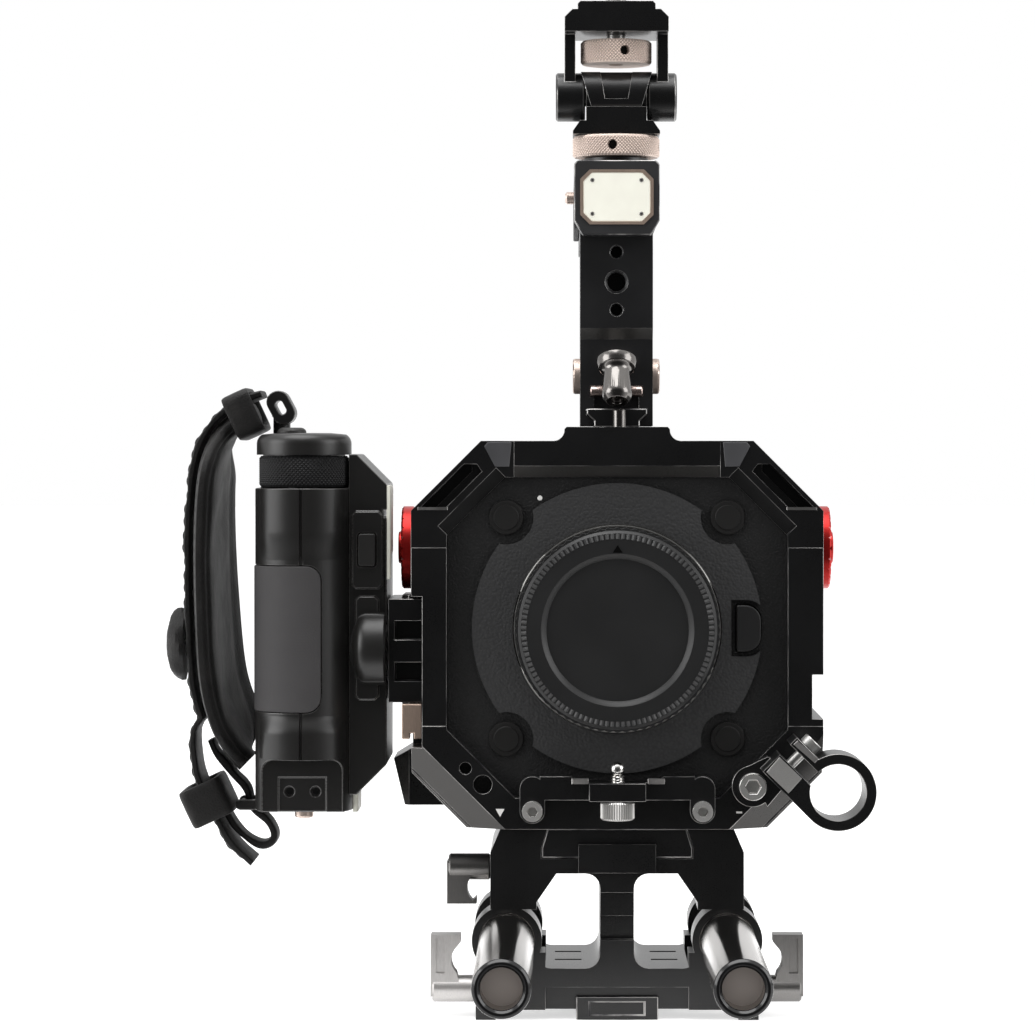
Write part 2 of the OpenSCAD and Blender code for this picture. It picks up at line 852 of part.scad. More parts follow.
// Outline of the corner's pocket: inset from the bevel, with a sloping upper end
module pocket_outline(rim, w) {
    x = rim * sqrt(2) - cage_x;
    z0 = side_z1 + pocket_z[0];
    z1 = side_z1 + pocket_z[1];
    in_x = w * sqrt(2);
    polygon([[x + pocket_z[0], z0], [x + pocket_z[1], z1], [x + pocket_z[1] + in_x / 2, z1],
        [x + pocket_z[1] + in_x - pocket_step, z1 - pocket_step], [x + pocket_z[0] + in_x, z0]]);
}

module cage_corner_left() {
    mid = [top_cut / 2 - cage_x, cage_z1 - top_cut / 2];
    color("#1b1b1d") difference() {
        cage_slice([-far, -top_half, side_z1, far], [-far, -top_half, lip_seam_z, far]);
        along_y(cage_y0 - over, cage_y0 + pocket_deep[0]) pocket_outline(pocket_rim, pocket_w);
        along_y(cage_y0, cage_y0 + pocket_deep[1]) pocket_outline(pocket_rim, pocket_w - pocket_step);
        along_bevel(mid, 45, lip_cut_top * sqrt(2)) polygon([[strut_in - strut_bevel, cage_y0 - over],
            [strut_in + over, cage_y0 - over], [strut_in + over, cage_y0 + strut_bevel + over],
            [strut_in - strut_bevel, cage_y0]]);
        translate([mid[0], (cage_y0 + cage_y1) / 2 + corner_slot_back, mid[1]]) rotate([0, -45, 0])
            cube(corner_slot, center = true);
    }
}

module cage_corner_right() {
    mirror([1, 0, 0]) cage_corner_left();
}

module cage_top() {
    color("#1b1b1d") difference() {
        union() {
            cage_slice([-top_half, top_half, lens_z, far], [-top_half, top_half, lens_z, far]);
            along_y(cage_y0, cage_y0 + boss_len)
                polygon(mirrored(concat(
                    arc([boss_w / 2 + boss_slope, cage_z1 + boss_slope], boss_slope, 270, 180),
                    [[boss_w / 2, boss_z - boss_bevel], [boss_w / 2 - boss_bevel, boss_z]])));
        }
        for (side = [-1, 1]) {
            pin_z(side * top_hole[0], top_hole[1], quarter_r, cam_z1 - over, cage_z1 + over);
        }
        along_x(-far, far) polygon([[cage_y0 - over, cam_z1 - lip_top - over],
            [cage_y0 - over, cam_z1 - lip_top + lip_bevel], [cage_y0, cam_z1 - lip_top + lip_bevel],
            [cage_y0 + lip_bevel, cam_z1 - lip_top], [cage_y0 + lip_bevel, cam_z1 - lip_top - over]]);
    }
}

module support_screws() {
    front = cage_y0 - support_t;
    color("#c9c7c4") for (side = [-1, 1]) {
        x = side * support_lug_x;
        difference() {
            union() {
                pin_y(x, support_lug_z, cap_screw_r, front - cap_screw_h, front);
                pin_y(x, support_lug_z, cap_screw_pin, front, cage_y0 + cap_screw_len - 1);
            }
            translate([x, front, support_lug_z]) rotate([90, 0, 0])
                cylinder(d = 3, h = cap_screw_h + over, $fn = 6);
        }
    }
}

// Toothed disc whose teeth face +X, from the origin outwards
module rosette() {
    color("#b3171b") difference() {
        union() {
            turned_x(0, 0) bevelled_disc(rosette_d / 2, 0, rosette_t, 0.5);
            turned_x(0, 0) bevelled_disc(rosette_hub_r, 0, rosette_t + rosette_hub_t, 0.3);
        }
        pin_x(0, 0, quarter_r, -over, far);
        for (i = [1:rosette_teeth]) {
            rotate([i * 360 / rosette_teeth, 0, 0]) translate([0, rosette_hub_r + 0.6, 0])
                rotate([-90, 0, 0])
                linear_extrude(rosette_d) polygon([[rosette_t - tooth_depth, 0],
                    [rosette_t + 0.2, 0.7], [rosette_t + 0.2, -0.7]]);
        }
    }
}

module rosette_left() {
    translate([-cage_x, rosette_y, rosette_z]) mirror([1, 0, 0]) rosette();
}

module rosette_right() {
    translate([cage_x, rosette_y, rosette_z]) rosette();
}

// Section of the side rail in X and Y, grown by a clearance
module side_rail_outline(grow) {
    x = cage_x - rail_seat;
    half = [side_rail[0], side_rail[0], side_rail[1], side_rail[2]];
    right = [for (i = [0:3]) [-x - side_rail_x[i] - (i == 3 ? grow : 0), rail_y - half[i] - grow]];
    left = [for (i = [3:-1:0]) [-x - side_rail_x[i] - (i == 3 ? grow : 0), rail_y + half[i] + grow]];
    polygon(concat(right, left));
}

module side_rail() {
    color("#232325") along_z(rail_z0, rail_z1) side_rail_outline(0);
}

module grip_clamp() {
    x_in = -(cage_x - rail_seat + apart);
    x_out = -(cage_x - rail_seat + side_rail_x[3] + slide + clamp_back);
    color("#1d1d1f") difference() {
        union() {
            box([x_out, clamp_y0, clamp_z0], [x_in, clamp_y1, clamp_z1]);
            pin_x(pivot_y, pivot_z, boss_r - 1, -housing_x1 + apart, x_out + over);
            pin_x(pivot_y, pivot_z, pivot_d / 2, -housing_x1 - pivot_len, x_out + over);
        }
        along_z(clamp_z0 - over, clamp_z1 + over) side_rail_outline(slide);
        for (z = comb_z) {
            box([x_in - comb_slot[2], clamp_y0 - over, z - comb_slot[0] / 2],
                [x_in + over, clamp_y0 + comb_slot[1], z + comb_slot[0] / 2]);
        }
    }
}

module rail_tab() {
    x1 = -(cage_x - rail_seat + apart);
    z1 = clamp_z0 - apart;
    color("#b98f7d") along_y(cage_y0 + tab_back, cage_y0 + tab_back + tab[1])
        difference() {
            band(x1 - tab[0], x1, z1 - tab[2], z1);
            band(x1 - tab[0] / 2 - tab_notch[0] / 2, x1 - tab[0] / 2 + tab_notch[0] / 2, z1 - far,
                z1 - tab[2] + tab_notch[1]);
        }
}

// Section of the top rail from a height up, grown by a clearance
module rail_outline(grow, z0) {
    polygon(mirrored([[rail_neck / 2 + grow, z0], [rail_neck / 2 + grow, boss_z + rail_h / 3 - grow],
        [rail_w / 2 + grow, boss_z + rail_h * 0.7 - grow], [rail_w / 2 + grow, boss_z + rail_h + grow]]));
}

module top_rail() {
    y0 = cage_y0 + rail_set;
    color("#232325") difference() {
        along_y(y0, y0 + rail_len) rail_outline(0, boss_z);
        for (y = [y0 + 40, y0 + 46]) {
            box([-rail_w, y, boss_z + rail_h - 2], [rail_w, y + 3, boss_z + rail_h + over]);
        }
    }
}

module lens_support() {
    front = cage_y0 - support_t;
    z1 = support_z0 + support_h;
    color("#161617") difference() {
        union() {
            along_y(front, cage_y0) {
                polygon(mirrored([[support_w / 2, support_z0], [support_w / 2, z1],
                    [support_w / 4 + 2, z1], [support_w / 4, z1 - 1.6]]));
                for (side = [-1, 1]) {
                    for (z = [support_lug_z, z1 - support_lug_r]) {
                        translate([side * support_lug_x, z]) circle(support_lug_r);
                    }
                    band(side * support_lug_x - support_lug_r, side * support_lug_x + support_lug_r,
                        support_lug_z, z1 - support_lug_r);
                }
            }
            along_y(cage_y0 - support_nose, front + over) band(-7.6, 7.6, support_z0, z1 - 1.6);
        }
        pin_z(0, jack_y, jack_r + run, support_z0 - over, z1 + over);
        for (side = [-1, 1]) {
            pin_y(side * support_lug_x, support_lug_z, cap_screw_pin + run, front - over,
                cage_y0 + over);
        }
    }
}

module jack_wheel() {
    z1 = support_z0 - apart;
    color("#c8c5c0") {
        translate([0, jack_y, 0]) rotate_extrude()
            bevelled_disc(jack_wheel_r, z1 - jack_wheel_h, z1, 0.4);
        pin_z(0, jack_y, jack_r, z1 - over, support_z0 + support_h + jack_tip);
    }
}

// Camera

module cam_outline() {
    polygon(octagon(cam_x, cam_z0, cam_z1, cam_cut_top, cam_cut_bottom));
}

module release_outline(grow) {
    w = release_w + 2 * grow;
    h = release_h + 2 * grow;
    translate([release_x - grow, lens_z])
        polygon(concat([[-release_w / 2, -h / 2], [-release_w / 2, h / 2]],
        arc([w - release_w / 2 - h / 3, h / 2 - h / 3], h / 3, 90, 0),
            arc([w - release_w / 2 - h / 3, h / 3 - h / 2], h / 3, 0, -90)));
}

module camera_body() {
    back = face_y + cam_d;
    color("#222224") difference() {
        along_y(face_y, back) cam_outline();
        pin_y(0, lens_z, throat_r, face_y - over, face_y + throat_d);
        along_y(face_y - over, face_y + 6) release_outline(slide);
        box([-battery_w / 2 - slide, back - battery_in, lens_z - battery_h / 2 - slide],
            [battery_w / 2 + slide, back + over, lens_z + battery_h / 2 + slide]);
        for (z = [lens_z + 12, lens_z, lens_z - 12]) {
            pin_y(terminal_x, z, terminal_r - 1 + run, back - 5, back + over);
        }
        for (i = [-3:3]) {
            box([-cam_x + 6, back - 3, lens_z + i * 7 - 1.2],
                [-cam_x + 20, back + over, lens_z + i * 7 + 1.2]);
        }
    }
}

module mount_surround() {
    color("#2a2a2c") along_y(face_y - surround_t, face_y) difference() {
        translate([0, lens_z]) circle(surround_d / 2);
        translate([0, lens_z]) circle(throat_r);
        for (x = [-1, 1], z = [-1, 1]) {
            translate([x * plug_pitch / 2, lens_z + z * plug_pitch / 2]) circle(scallop_r);
        }
        release_outline(release_rim);
    }
}

module mount_ring() {
    front = face_y - surround_t;
    color("#9b9b9d") turned_y(0, lens_z)
        polygon([[throat_r, front], [mount_d / 2, front], [mount_d / 2, front - mount_t + 0.5],
        [mount_d / 2 - 0.5, front - mount_t], [throat_r, front - mount_t]]);
}

module image_sensor() {
    bottom = face_y + throat_d;
    color("#3c5a50") box([-sensor[0] / 2, bottom - sensor[1], lens_z - sensor[2] / 2],
        [sensor[0] / 2, bottom, lens_z + sensor[2] / 2]);
}

module front_plugs() {
    color("#2f2f31") for (x = [-1, 1], z = [-1, 1]) {
        turned_y(x * plug_pitch / 2, lens_z + z * plug_pitch / 2)
            bevelled_disc(plug_r, face_y - plug_t, face_y, 0.3);
    }
}

module lens_release() {
    color("#1f1f21") along_y(face_y - surround_t - release_out, face_y + 6 - release_travel - apart)
        release_outline(0);
}

module body_cap() {
    back = face_y - surround_t - mount_t - cap_gap;
    front = back - cap_h;
    color("#141415") {
        difference() {
            along_y(front + 0.8, back) translate([0, lens_z]) polygon([for (i = [0:2 * cap_ribs - 1])
                (cap_d / 2 - (i % 2) * 0.5) * [cos(i * 180 / cap_ribs), sin(i * 180 / cap_ribs)]]);
            pin_y(0, lens_z, cap_disc_r, front, front + 2.4);
        }
        turned_y(0, lens_z) polygon([[0, front + 1.2], [cap_disc_r - 0.6, front + 1.2],
            [cap_disc_r, front + 0.5],
            [cap_disc_r + 0.8, front], [cap_d / 2 - 1.6, front], [cap_d / 2 - 0.7, front + 1],
                [cap_d / 2 - 0.7, front + 3], [0, front + 3]]);
        pin_y(0, lens_z, throat_r - apart, back - 1, back + cap_plug_d);
    }
}

module camera_battery() {
    back = face_y + cam_d;
    color("#1c1c1d") difference() {
        box([-battery_w / 2, back - battery_in + seat, lens_z - battery_h / 2],
            [battery_w / 2, back + battery_out, lens_z + battery_h / 2]);
        box([-battery_w / 4, back + battery_out - 1.2, lens_z + battery_h / 2 - 8],
            [battery_w / 4, back + battery_out + over, lens_z + battery_h / 2 - 4]);
    }
}

module camera_terminals() {
    back = face_y + cam_d;
    color("#8f8b84") for (z = [lens_z + 12, lens_z, lens_z - 12]) {
        difference() {
            union() {
                turned_y(terminal_x, z) polygon([[0, back], [terminal_r, back],
                    [terminal_r, back + terminal_len - 0.5],
                    [terminal_r - 0.5, back + terminal_len], [0, back + terminal_len]]);
                pin_y(terminal_x, z, terminal_r - 1, back - 4.5, back + over);
            }
            pin_y(terminal_x, z, terminal_r - 1.4, back + 1.5, back + terminal_len + over);
            pin_y(terminal_x, z, 0.8, back + 1, back + terminal_len);
        }
    }
}

// Rod holder, drawn about its ring: u runs up and inwards along the slit, v up and outwards

module holder_frame() {
    translate([holder_x, holder_z]) rotate(135) children();
}

module rod_holder() {
    back = cage_y0 - seat;
    wall_r = holder_r + holder_wall;
    color("#26262a") difference() {
        union() {
            along_y(back - holder_d, back) holder_frame() {
                circle(wall_r);
                translate([0, 0.2]) square([ear[1], wall_r - 0.2]);
                translate([0, -ear_high]) square([ear[1], ear_high]);
            }
            along_y(back - flange_t, back) {
                translate(corner_hole) circle(flange_r);
                polygon([corner_hole + [-2, flange_r - 0.5], corner_hole + [4, 8],
                    corner_hole + [12, 4], corner_hole + [4, -flange_r]]);
            }
        }
        pin_y(holder_x, holder_z, holder_r, back - holder_d - over, back + over);
        along_y(back - holder_d - over, back + over) holder_frame() translate([0, 0])
            square([ear[1] + over, holder_slit]);
        translate([holder_x, back - holder_d / 2, holder_z]) rotate([0, 45, 0])
            translate([-holder_screw_u, 0, -far / 2]) cylinder(r = cap_screw_pin + run, h = far);
        pin_y(corner_hole[0], corner_hole[1], corner_screw_pin + run, back - far, back + over);
    }
}

module holder_screws() {
    back = cage_y0 - seat;
    color("#cfcdca") {
        difference() {
            union() {
                pin_y(corner_hole[0], corner_hole[1], corner_screw_r,
                    back - flange_t - corner_screw_h, back - flange_t);
                pin_y(corner_hole[0], corner_hole[1], corner_screw_pin, back - flange_t,
                    face_y - apart);
            }
            translate([corner_hole[0], back - flange_t, corner_hole[1]]) rotate([90, 0, 0])
                cylinder(d = 4.2, h = far, $fn = 6);
        }
        translate([holder_x, back - holder_d / 2, holder_z]) rotate([0, 45, 0])
            translate([-holder_screw_u, 0, 0]) difference() {
            union() {
                translate([0, 0, ear_high]) cylinder(r = cap_screw_r, h = cap_screw_h);
                translate([0, 0, -holder_slit - ear_low + 1])
                    cylinder(r = cap_screw_pin, h = holder_slit + ear_low + ear_high);
            }
            translate([0, 0, ear_high + 1]) cylinder(d = 3, h = far, $fn = 6);
        }
    }
}

// Top handle

// Side view of the handle: post in front, hand grip behind, finger grooves below
module handle_outline() {
    y1 = handle_y0 + handle_len;
    post = handle_y0 + post_d;
    groove_pitch = (y1 - post - inner_fillet - 2 * bar_end_r) / bar_grooves;
    difference() {
        polygon(concat(
            [[handle_y0 + knuckle_in, foot_z], [handle_y0 + knuckle_in, knuckle_z],
                [handle_y0, knuckle_z + knuckle_rise], [handle_y0, handle_z1]],
            arc([y1 - bar_end_r, handle_z1 - bar_end_r], bar_end_r, 90, 0),
                arc([y1 - bar_end_r, bar_z0 + bar_end_r], bar_end_r, 0, -90),
            arc([post + inner_fillet, bar_z0 - inner_fillet], inner_fillet, 90, 180),
                [[post, foot_z]]));
        for (i = [0:bar_grooves - 1]) {
            translate([post + inner_fillet + (i + 0.6) * groove_pitch,
                bar_z0 - groove_r + groove_depth]) circle(groove_r);
        }
    }
}

module handle_frame() {
    color("#151516") difference() {
        union() {
            along_x(-handle_x, handle_x) handle_outline();
            pin_z(0, pan_y, handle_x - 1, handle_z1 - over, handle_z1 + collar_h);
        }
        along_y(handle_y0 - over, handle_y0 + post_d + over) rail_outline(slide, boss_z - over);
        box([-latch_slot[0] / 2, handle_y0 - over, foot_z - over],
            [latch_slot[0] / 2, handle_y0 + knuckle_in + latch_slot[1], foot_z + latch_slot[2]]);
        pin_y(0, latch_z, latch_pin_r + run, handle_y0 - over, handle_y0 + knuckle_in + latch_pin_len);
        for (hole = front_holes) {
            pin_y(0, foot_z + hole[0], hole[1], handle_y0 - over, handle_y0 + front_hole_d);
            turned_y(0, foot_z + hole[0]) polygon([[0, handle_y0 - over], [hole[1] + hole[2] + over,
                handle_y0 - over],
                [hole[1], handle_y0 + hole[2]], [0, handle_y0 + hole[2]]]);
        }
        for (side = [-1, 1]) {
            pin_x(press_y, press_z, press_r + slide,
                side > 0 ? handle_x - press_in - press_travel - apart : -handle_x - over,
                side > 0 ? handle_x + over : press_in + press_travel + apart - handle_x);
        }
        pin_x(handle_y0 + knuckle_in, cross_pin_z, cross_pin_r + run, -cross_pin_w / 2 - run,
            cross_pin_w / 2 + run);
        pin_z(0, pan_y, stud_r + run, handle_z1 - stud_len, handle_z1 + collar_h + over);
        along_x(-handle_x - over, handle_x + over)
            translate([handle_y0 + handle_len - 12, handle_z1 - bar_h / 2]) circle(3);
    }
}

module handle_head() {
    z0 = head_z1 - head_h;
    color("#1a1a1b") difference() {
        along_y(handle_y0 - head_t, handle_y0)
            polygon(mirrored([[head_w / 2 - head_bevel[0], z0], [head_w / 2, z0 + head_bevel[1]],
                [head_w / 2, head_z1 - 1], [head_w / 2 - 1, head_z1]]));
        along_y(handle_y0 - head_t - over, handle_y0 - head_t + name_t - name_proud)
            translate([0, head_z1 - name_drop - name_plate[1] / 2])
            polygon(cut_rect(name_plate[0] + 2 * seat, name_plate[1] + 2 * seat, name_cut));
    }
}

module name_plate() {
    front = handle_y0 - head_t - name_proud;
    color("#d9d0c3") along_y(front, front + name_t)
        translate([0, head_z1 - name_drop - name_plate[1] / 2])
        polygon(cut_rect(name_plate[0], name_plate[1], name_cut));
}

module handle_pads() {
    color("#2a2a2a") for (side = [-1, 1]) {
        x0 = side > 0 ? handle_x : -handle_x - pad_out;
        along_x(x0, x0 + pad_out) translate([handle_y0 + pad_y0 + pad_len / 2,
            handle_z1 - bar_h / 2 + 1]) polygon(round_rect(pad_len, pad_h - 1, 5));
    }
}

module cross_pin() {
    color("#b98f7d") pin_x(handle_y0 + knuckle_in, cross_pin_z, cross_pin_r, -cross_pin_w / 2,
        cross_pin_w / 2);
}

// The latch: a pin in the post and a trumpet-shaped lever hanging from it
module handle_latch() {
    front = handle_y0 + knuckle_in - apart;
    root = front - latch_disc_r * sin(latch_tilt);
    color("#77777b") {
        pin_y(0, latch_z, latch_pin_r, root - latch_disc_t / 2,
            handle_y0 + knuckle_in + latch_pin_len - 1);
        translate([0, root, latch_z]) rotate([90 + latch_tilt, 0, 0]) rotate_extrude()
            polygon(concat([[0, 0], [latch_disc_r, 0], [latch_disc_r, latch_disc_t]],
                arc([latch_disc_r, latch_neck[1]], latch_disc_r - latch_neck[0], 255, 180),
                [[latch_arm_r, latch_arm - 2], [latch_arm_r - 0.4, latch_arm - 1], [latch_end_r,
                    latch_arm],
                    [latch_socket, latch_arm], [latch_socket, latch_arm - 1], [0, latch_arm - 1]]));
    }
}

module press(side) {
    color("#b98f7d") turned_x(press_y, press_z)
        bevelled_disc(press_r, side > 0 ? handle_x - press_in : -handle_x - press_out,
        side > 0 ? handle_x + press_out : press_in - handle_x, 0.4);
}

module press_left() {
    press(-1);
}

module press_right() {
    press(1);
}

// Monitor bracket

module lock_ring() {
    color("#c2a493") difference() {
        translate([0, pan_y, 0]) rotate_extrude() bevelled_disc(lock_d / 2, lock_z0, lock_z1, 0.6);
        pin_z(0, pan_y, stud_r + run, lock_z0 - over, lock_z1 + over);
        for (a = [0:60:300]) {
            translate([0, pan_y, (lock_z0 + lock_z1) / 2]) rotate([0, 0, a]) rotate([90, 0, 0])
                translate([0, 0, lock_d / 2 - tommy_depth])
                cylinder(r = tommy_r, h = tommy_depth + over);
        }
    }
}

// Base of the tilt joint: a bevelled flange, a knuckle and a curved shield
module tilt_base() {
    flange_z1 = tilt_z - tilt_d / 2 - apart;
    hub_r = tilt_d / 2 + apart;
    half = neck_w / 2;
    color("#1b1b1c") difference() {
        union() {
            pin_z(0, pan_y, stud_r, handle_z1 - stud_len + 1, tilt_z0 + over);
            along_y(pan_y - base_flange[1] / 2, pan_y + base_flange[1] / 2)
                polygon(mirrored([[base_flange[0] / 2, tilt_z0],
                    [base_flange[0] / 2, tilt_z0 + base_flange[2]], [flange_top / 2, flange_z1],
                    [half, flange_z1], [half, tilt_z - knuckle_r / 2]]));
            pin_x(pan_y, tilt_z, knuckle_r, -half, half);
            intersection() {
                along_y(pan_y - tilt_d, pan_y) polygon(mirrored([[shield[1], tilt_z - knuckle_r],
                    [shield[0], tilt_z + knuckle_r]]));
                difference() {
                    pin_x(pan_y, tilt_z, hub_r + shield[2], -far, far);
                    pin_x(pan_y, tilt_z, hub_r, -far, -half);
                    pin_x(pan_y, tilt_z, hub_r, half, far);
                }
            }
        }
        pin_x(pan_y, tilt_z, shaft_r + run, -far, far);
        difference() {
            along_y(pan_y - tilt_d, pan_y) polygon(mirrored([
                [shield_pocket[1], tilt_z + knuckle_r - shield_pocket[2]],
                [shield_pocket[0], tilt_z + knuckle_r + over]]));
            pin_x(pan_y, tilt_z, hub_r + shield[2] - shield_pocket[3], -far, far);
        }
    }
}

module tilt_yoke() {
    z0 = tilt_z + yoke_rise;
    color("#1d1d1e") difference() {
        union() {
            for (side = [-1, 1]) {
                x0 = side > 0 ? neck_w / 2 + apart : -tilt_w / 2;
                x1 = side > 0 ? tilt_w / 2 : -neck_w / 2 - apart;
                turned_x(pan_y, tilt_z) bevelled_disc(tilt_d / 2, x0, x1, 0.5);
                a0 = side > 0 ? yoke_w / 2 - arm_t : -yoke_w / 2;
                box([a0, pan_y - arm_d / 2, tilt_z], [a0 + arm_t, pan_y + arm_d / 2, z0 + over]);
            }
            along_y(pan_y - yoke_d / 2, pan_y + yoke_d / 2) polygon(mirrored([[yoke_w / 2, z0],
                [yoke_w / 2, z0 + yoke_shoulder[0] - yoke_shoulder[1]],
                [yoke_w / 2 - yoke_shoulder[1], z0 + yoke_shoulder[0]],
                [yoke_top_w / 2, z0 + yoke_shoulder[0]], [yoke_top_w / 2, z0 + yoke_t - yoke_bevel],
                [yoke_top_w / 2 - yoke_bevel, z0 + yoke_t]]));
        }
        pin_x(pan_y, tilt_z, shaft_r + run, shaft_end - tilt_w / 2 - run, tilt_w / 2 - shaft_end + run);
        pin_z(0, pan_y, screw_d / 2 - screw_neck + run, z0 - over, z0 + yoke_t + over);
    }
}

module tilt_shaft() {
    color("#9a9a9c") pin_x(pan_y, tilt_z, shaft_r, shaft_end - tilt_w / 2, tilt_w / 2 - shaft_end);
}

// The screw wheel: its screw is captive, with a thin neck through the yoke
module monitor_wheel() {
    z0 = tilt_z + wheel_rise;
    seat_z = tilt_z + yoke_rise + yoke_t + apart;
    tip_z = seat_z + monitor_screw;
    r = screw_d / 2;
    color("#c2a493") difference() {
        translate([0, pan_y, 0]) rotate_extrude() {
            bevelled_disc(wheel_d / 2, z0, z0 + wheel_h, 0.6);
            polygon([[0, z0 + over], [r - screw_neck, z0 + over], [r - screw_neck, seat_z], [r, seat_z],
                [r, tip_z - screw_bevel], [r - screw_bevel, tip_z], [0, tip_z]]);
        }
        for (a = [30:60:330]) {
            translate([0, pan_y, z0 + wheel_h / 2]) rotate([0, 0, a]) rotate([90, 0, 0])
                translate([0, 0, wheel_d / 2 - tommy_depth])
                cylinder(r = tommy_r, h = tommy_depth + over);
        }
    }
}

// Side grip

// Plan of the grip: a round front and a body behind, grown by a clearance
module grip_plan(grow) {
    translate([grip_x, grip_y]) circle(grip_r + grow);
    translate([grip_x - grip_r - grow, grip_y])
        square([grip_w + 2 * grow, grip_back - grip_corner - grip_y]);
    translate([grip_x - grip_r + grip_corner, grip_y])
        square([grip_w - 2 * grip_corner, grip_back - grip_y + grow]);
    for (side = [-1, 1]) {
        translate([grip_x + side * (grip_r - grip_corner), grip_back - grip_corner])
            circle(grip_corner + grow);
    }
}

// The panel between two depths under the grip's skin, drawn in by a clearance
module panel_solid(inner, outer, shrink) {
    intersection() {
        along_z(panel_z0 + shrink, panel_z1 - shrink) difference() {
            grip_plan(outer);
            grip_plan(-inner);
        }
        along_y(grip_y - 2 * grip_r, grip_y + panel_back - shrink)
            translate([grip_x - grip_r - far + panel_w - shrink, (panel_z0 + panel_z1) / 2])
            polygon(concat(arc([far - panel_corner,
                (panel_z1 - panel_z0) / 2 - shrink - panel_corner], panel_corner, 90, 0),
                arc([far - panel_corner, shrink + panel_corner - (panel_z1 - panel_z0) / 2],
                    panel_corner, 0, -90),
                [[0, shrink - (panel_z1 - panel_z0) / 2], [0, (panel_z1 - panel_z0) / 2 - shrink]]));
    }
}

// The loop at the foot of the grip for the strap: two cheeks and a bar
module strap_lug() {
    half = loop_w / 2 + apart;
    x = strap_left - lug_out;
    z = lens_z + lug_z;
    for (y0 = [strap_y - half - lug_r, strap_y + half]) {
        along_y(y0, y0 + lug_r) {
            translate([x, z]) circle(lug_r);
            band(x, strap_left + over, z - lug_r, z + lug_r);
        }
    }
    pin_y(x, z, lug_bar_r, strap_y - half - over, strap_y + half + over);
}

module grip_shell() {
    front = grip_y - grip_r;
    color("#1a1a1b") difference() {
        union() {
            along_z(grip_z0, grip_z1) grip_plan(0);
            along_z(grip_z1, nape_z1) difference() {
                grip_plan(-1);
                translate([grip_x, grip_y]) circle(focus_d / 2 + nape_gap);
                translate([grip_x - grip_w, grip_y - 2 * grip_w])
                    square([2 * grip_w, 2 * grip_w + focus_d / 4]);
            }
            strap_lug();
        }
        panel_solid(panel_t - panel_proud, over, 0);
        box([grip_x - seam_w / 2, front - over, grip_z0 + chin[2]],
            [grip_x + seam_w / 2, front + seam_depth, grip_z1 + over]);
        translate([grip_x, 0, 0]) {
            along_y(front - over, front + chin[1]) polygon(mirrored(concat([[chin[0] / 2,
                grip_z0 - over]],
                arc([chin[0] / 2 - chin_r, grip_z0 + chin[2] - chin_r], chin_r, 0, 90))));
            along_y(front, front + chin[1] + chin_pocket[2])
                band(-chin_pocket[0] / 2, chin_pocket[0] / 2, grip_z0 - over, grip_z0 + chin_pocket[1]);
            for (side = [-1, 1]) {
                pin_y(side * chin_screw[0] / 2, grip_z0 + chin_screw[1], chin_screw[2], front,
                    front + chin[1] + 2.5);
            }
        }
        pin_z(grip_x, grip_y, knob_r + slide, grip_z0 - over, grip_z0 + knob_len + knob_travel + apart);
        pin_z(grip_x, grip_y, peg_r + run, grip_z1 - peg_len - apart, grip_z1 + over);
    }
}

module grip_panel() {
    color("#3a3a3c") panel_solid(panel_t - panel_proud, panel_proud, seat);
}

module grip_housing() {
    x1 = -housing_x1;
    y0 = grip_y - housing_front;
    color("#171718") difference() {
        union() {
            difference() {
                along_y(y0, grip_back - grip_corner)
                    polygon([[grip_x, housing_z0], [x1 - housing_bevel, housing_z0],
                        [x1, housing_z0 + housing_bevel],
                    [x1, housing_z1 - housing_bevel], [x1 - housing_bevel, housing_z1],
                        [grip_x, housing_z1]]);
                along_z(0, far) grip_plan(0);
            }
            along_y(y0 - housing_raise, y0 + over) {
                translate([mode_x, mode_z]) polygon(cut_rect(mode_block[0], mode_block[1], 1));
                translate([mode_x, pivot_z]) polygon(cut_rect(pivot_block[0], pivot_block[1], 1));
            }
            difference() {
                turned_x(pivot_y, pivot_z) polygon([[0, x1 - housing_w],
                    [boss_r - 2.5, x1 - housing_w], [boss_r - 0.8, x1 - housing_w + 2],
                    [boss_r, x1 - housing_w / 2], [boss_r, x1 - 0.6], [boss_r - 0.6, x1], [0, x1]]);
                along_z(0, far) grip_plan(0);
            }
        }
        pin_x(pivot_y, pivot_z, pivot_d / 2 + run, -far, far);
        along_y(y0 - housing_raise - over, y0 + mode_button[2] + mode_travel)
            translate([mode_x, mode_z])
                polygon(round_rect(mode_button[0] + 2 * slide, mode_button[1] + 2 * slide, 0.8));
        box([x1 - 1.2, y0 - over, mode_z + 9], [x1 + over, grip_back, mode_z + 11]);
    }
}

module grip_crown() {
    color("#1b1b1c") difference() {
        translate([grip_x, grip_y, 0]) rotate_extrude()
            polygon(concat([[0, grip_z1], [axle_r, grip_z1], [axle_r, crown_z0],
                [grip_r - 0.4, crown_z0],
            [grip_r - 0.4, crown_z0 + crown_h / 2]],
                arc([grip_r - 0.4 - crown_h / 2, crown_z0 + crown_h / 2], crown_h / 2, 0, 60),
                    [[grip_r - 6, crown_z1], [0, crown_z1]]));
        pin_z(grip_x + record_x, grip_y, record_r + slide,
            crown_z1 - record_len - record_travel - apart, crown_z1 + over);
    }
    color("#1b1b1c") pin_z(grip_x, grip_y, peg_r, grip_z1 - peg_len, grip_z1 + over);
}

module focus_wheel() {
    color("#202021") difference() {
        translate([grip_x, grip_y, 0]) rotate_extrude()
            bevelled_disc(focus_d / 2, grip_z1 + apart, focus_z1, 0.5);
        pin_z(grip_x, grip_y, axle_r + run, grip_z1, focus_z1 + over);
    }
}

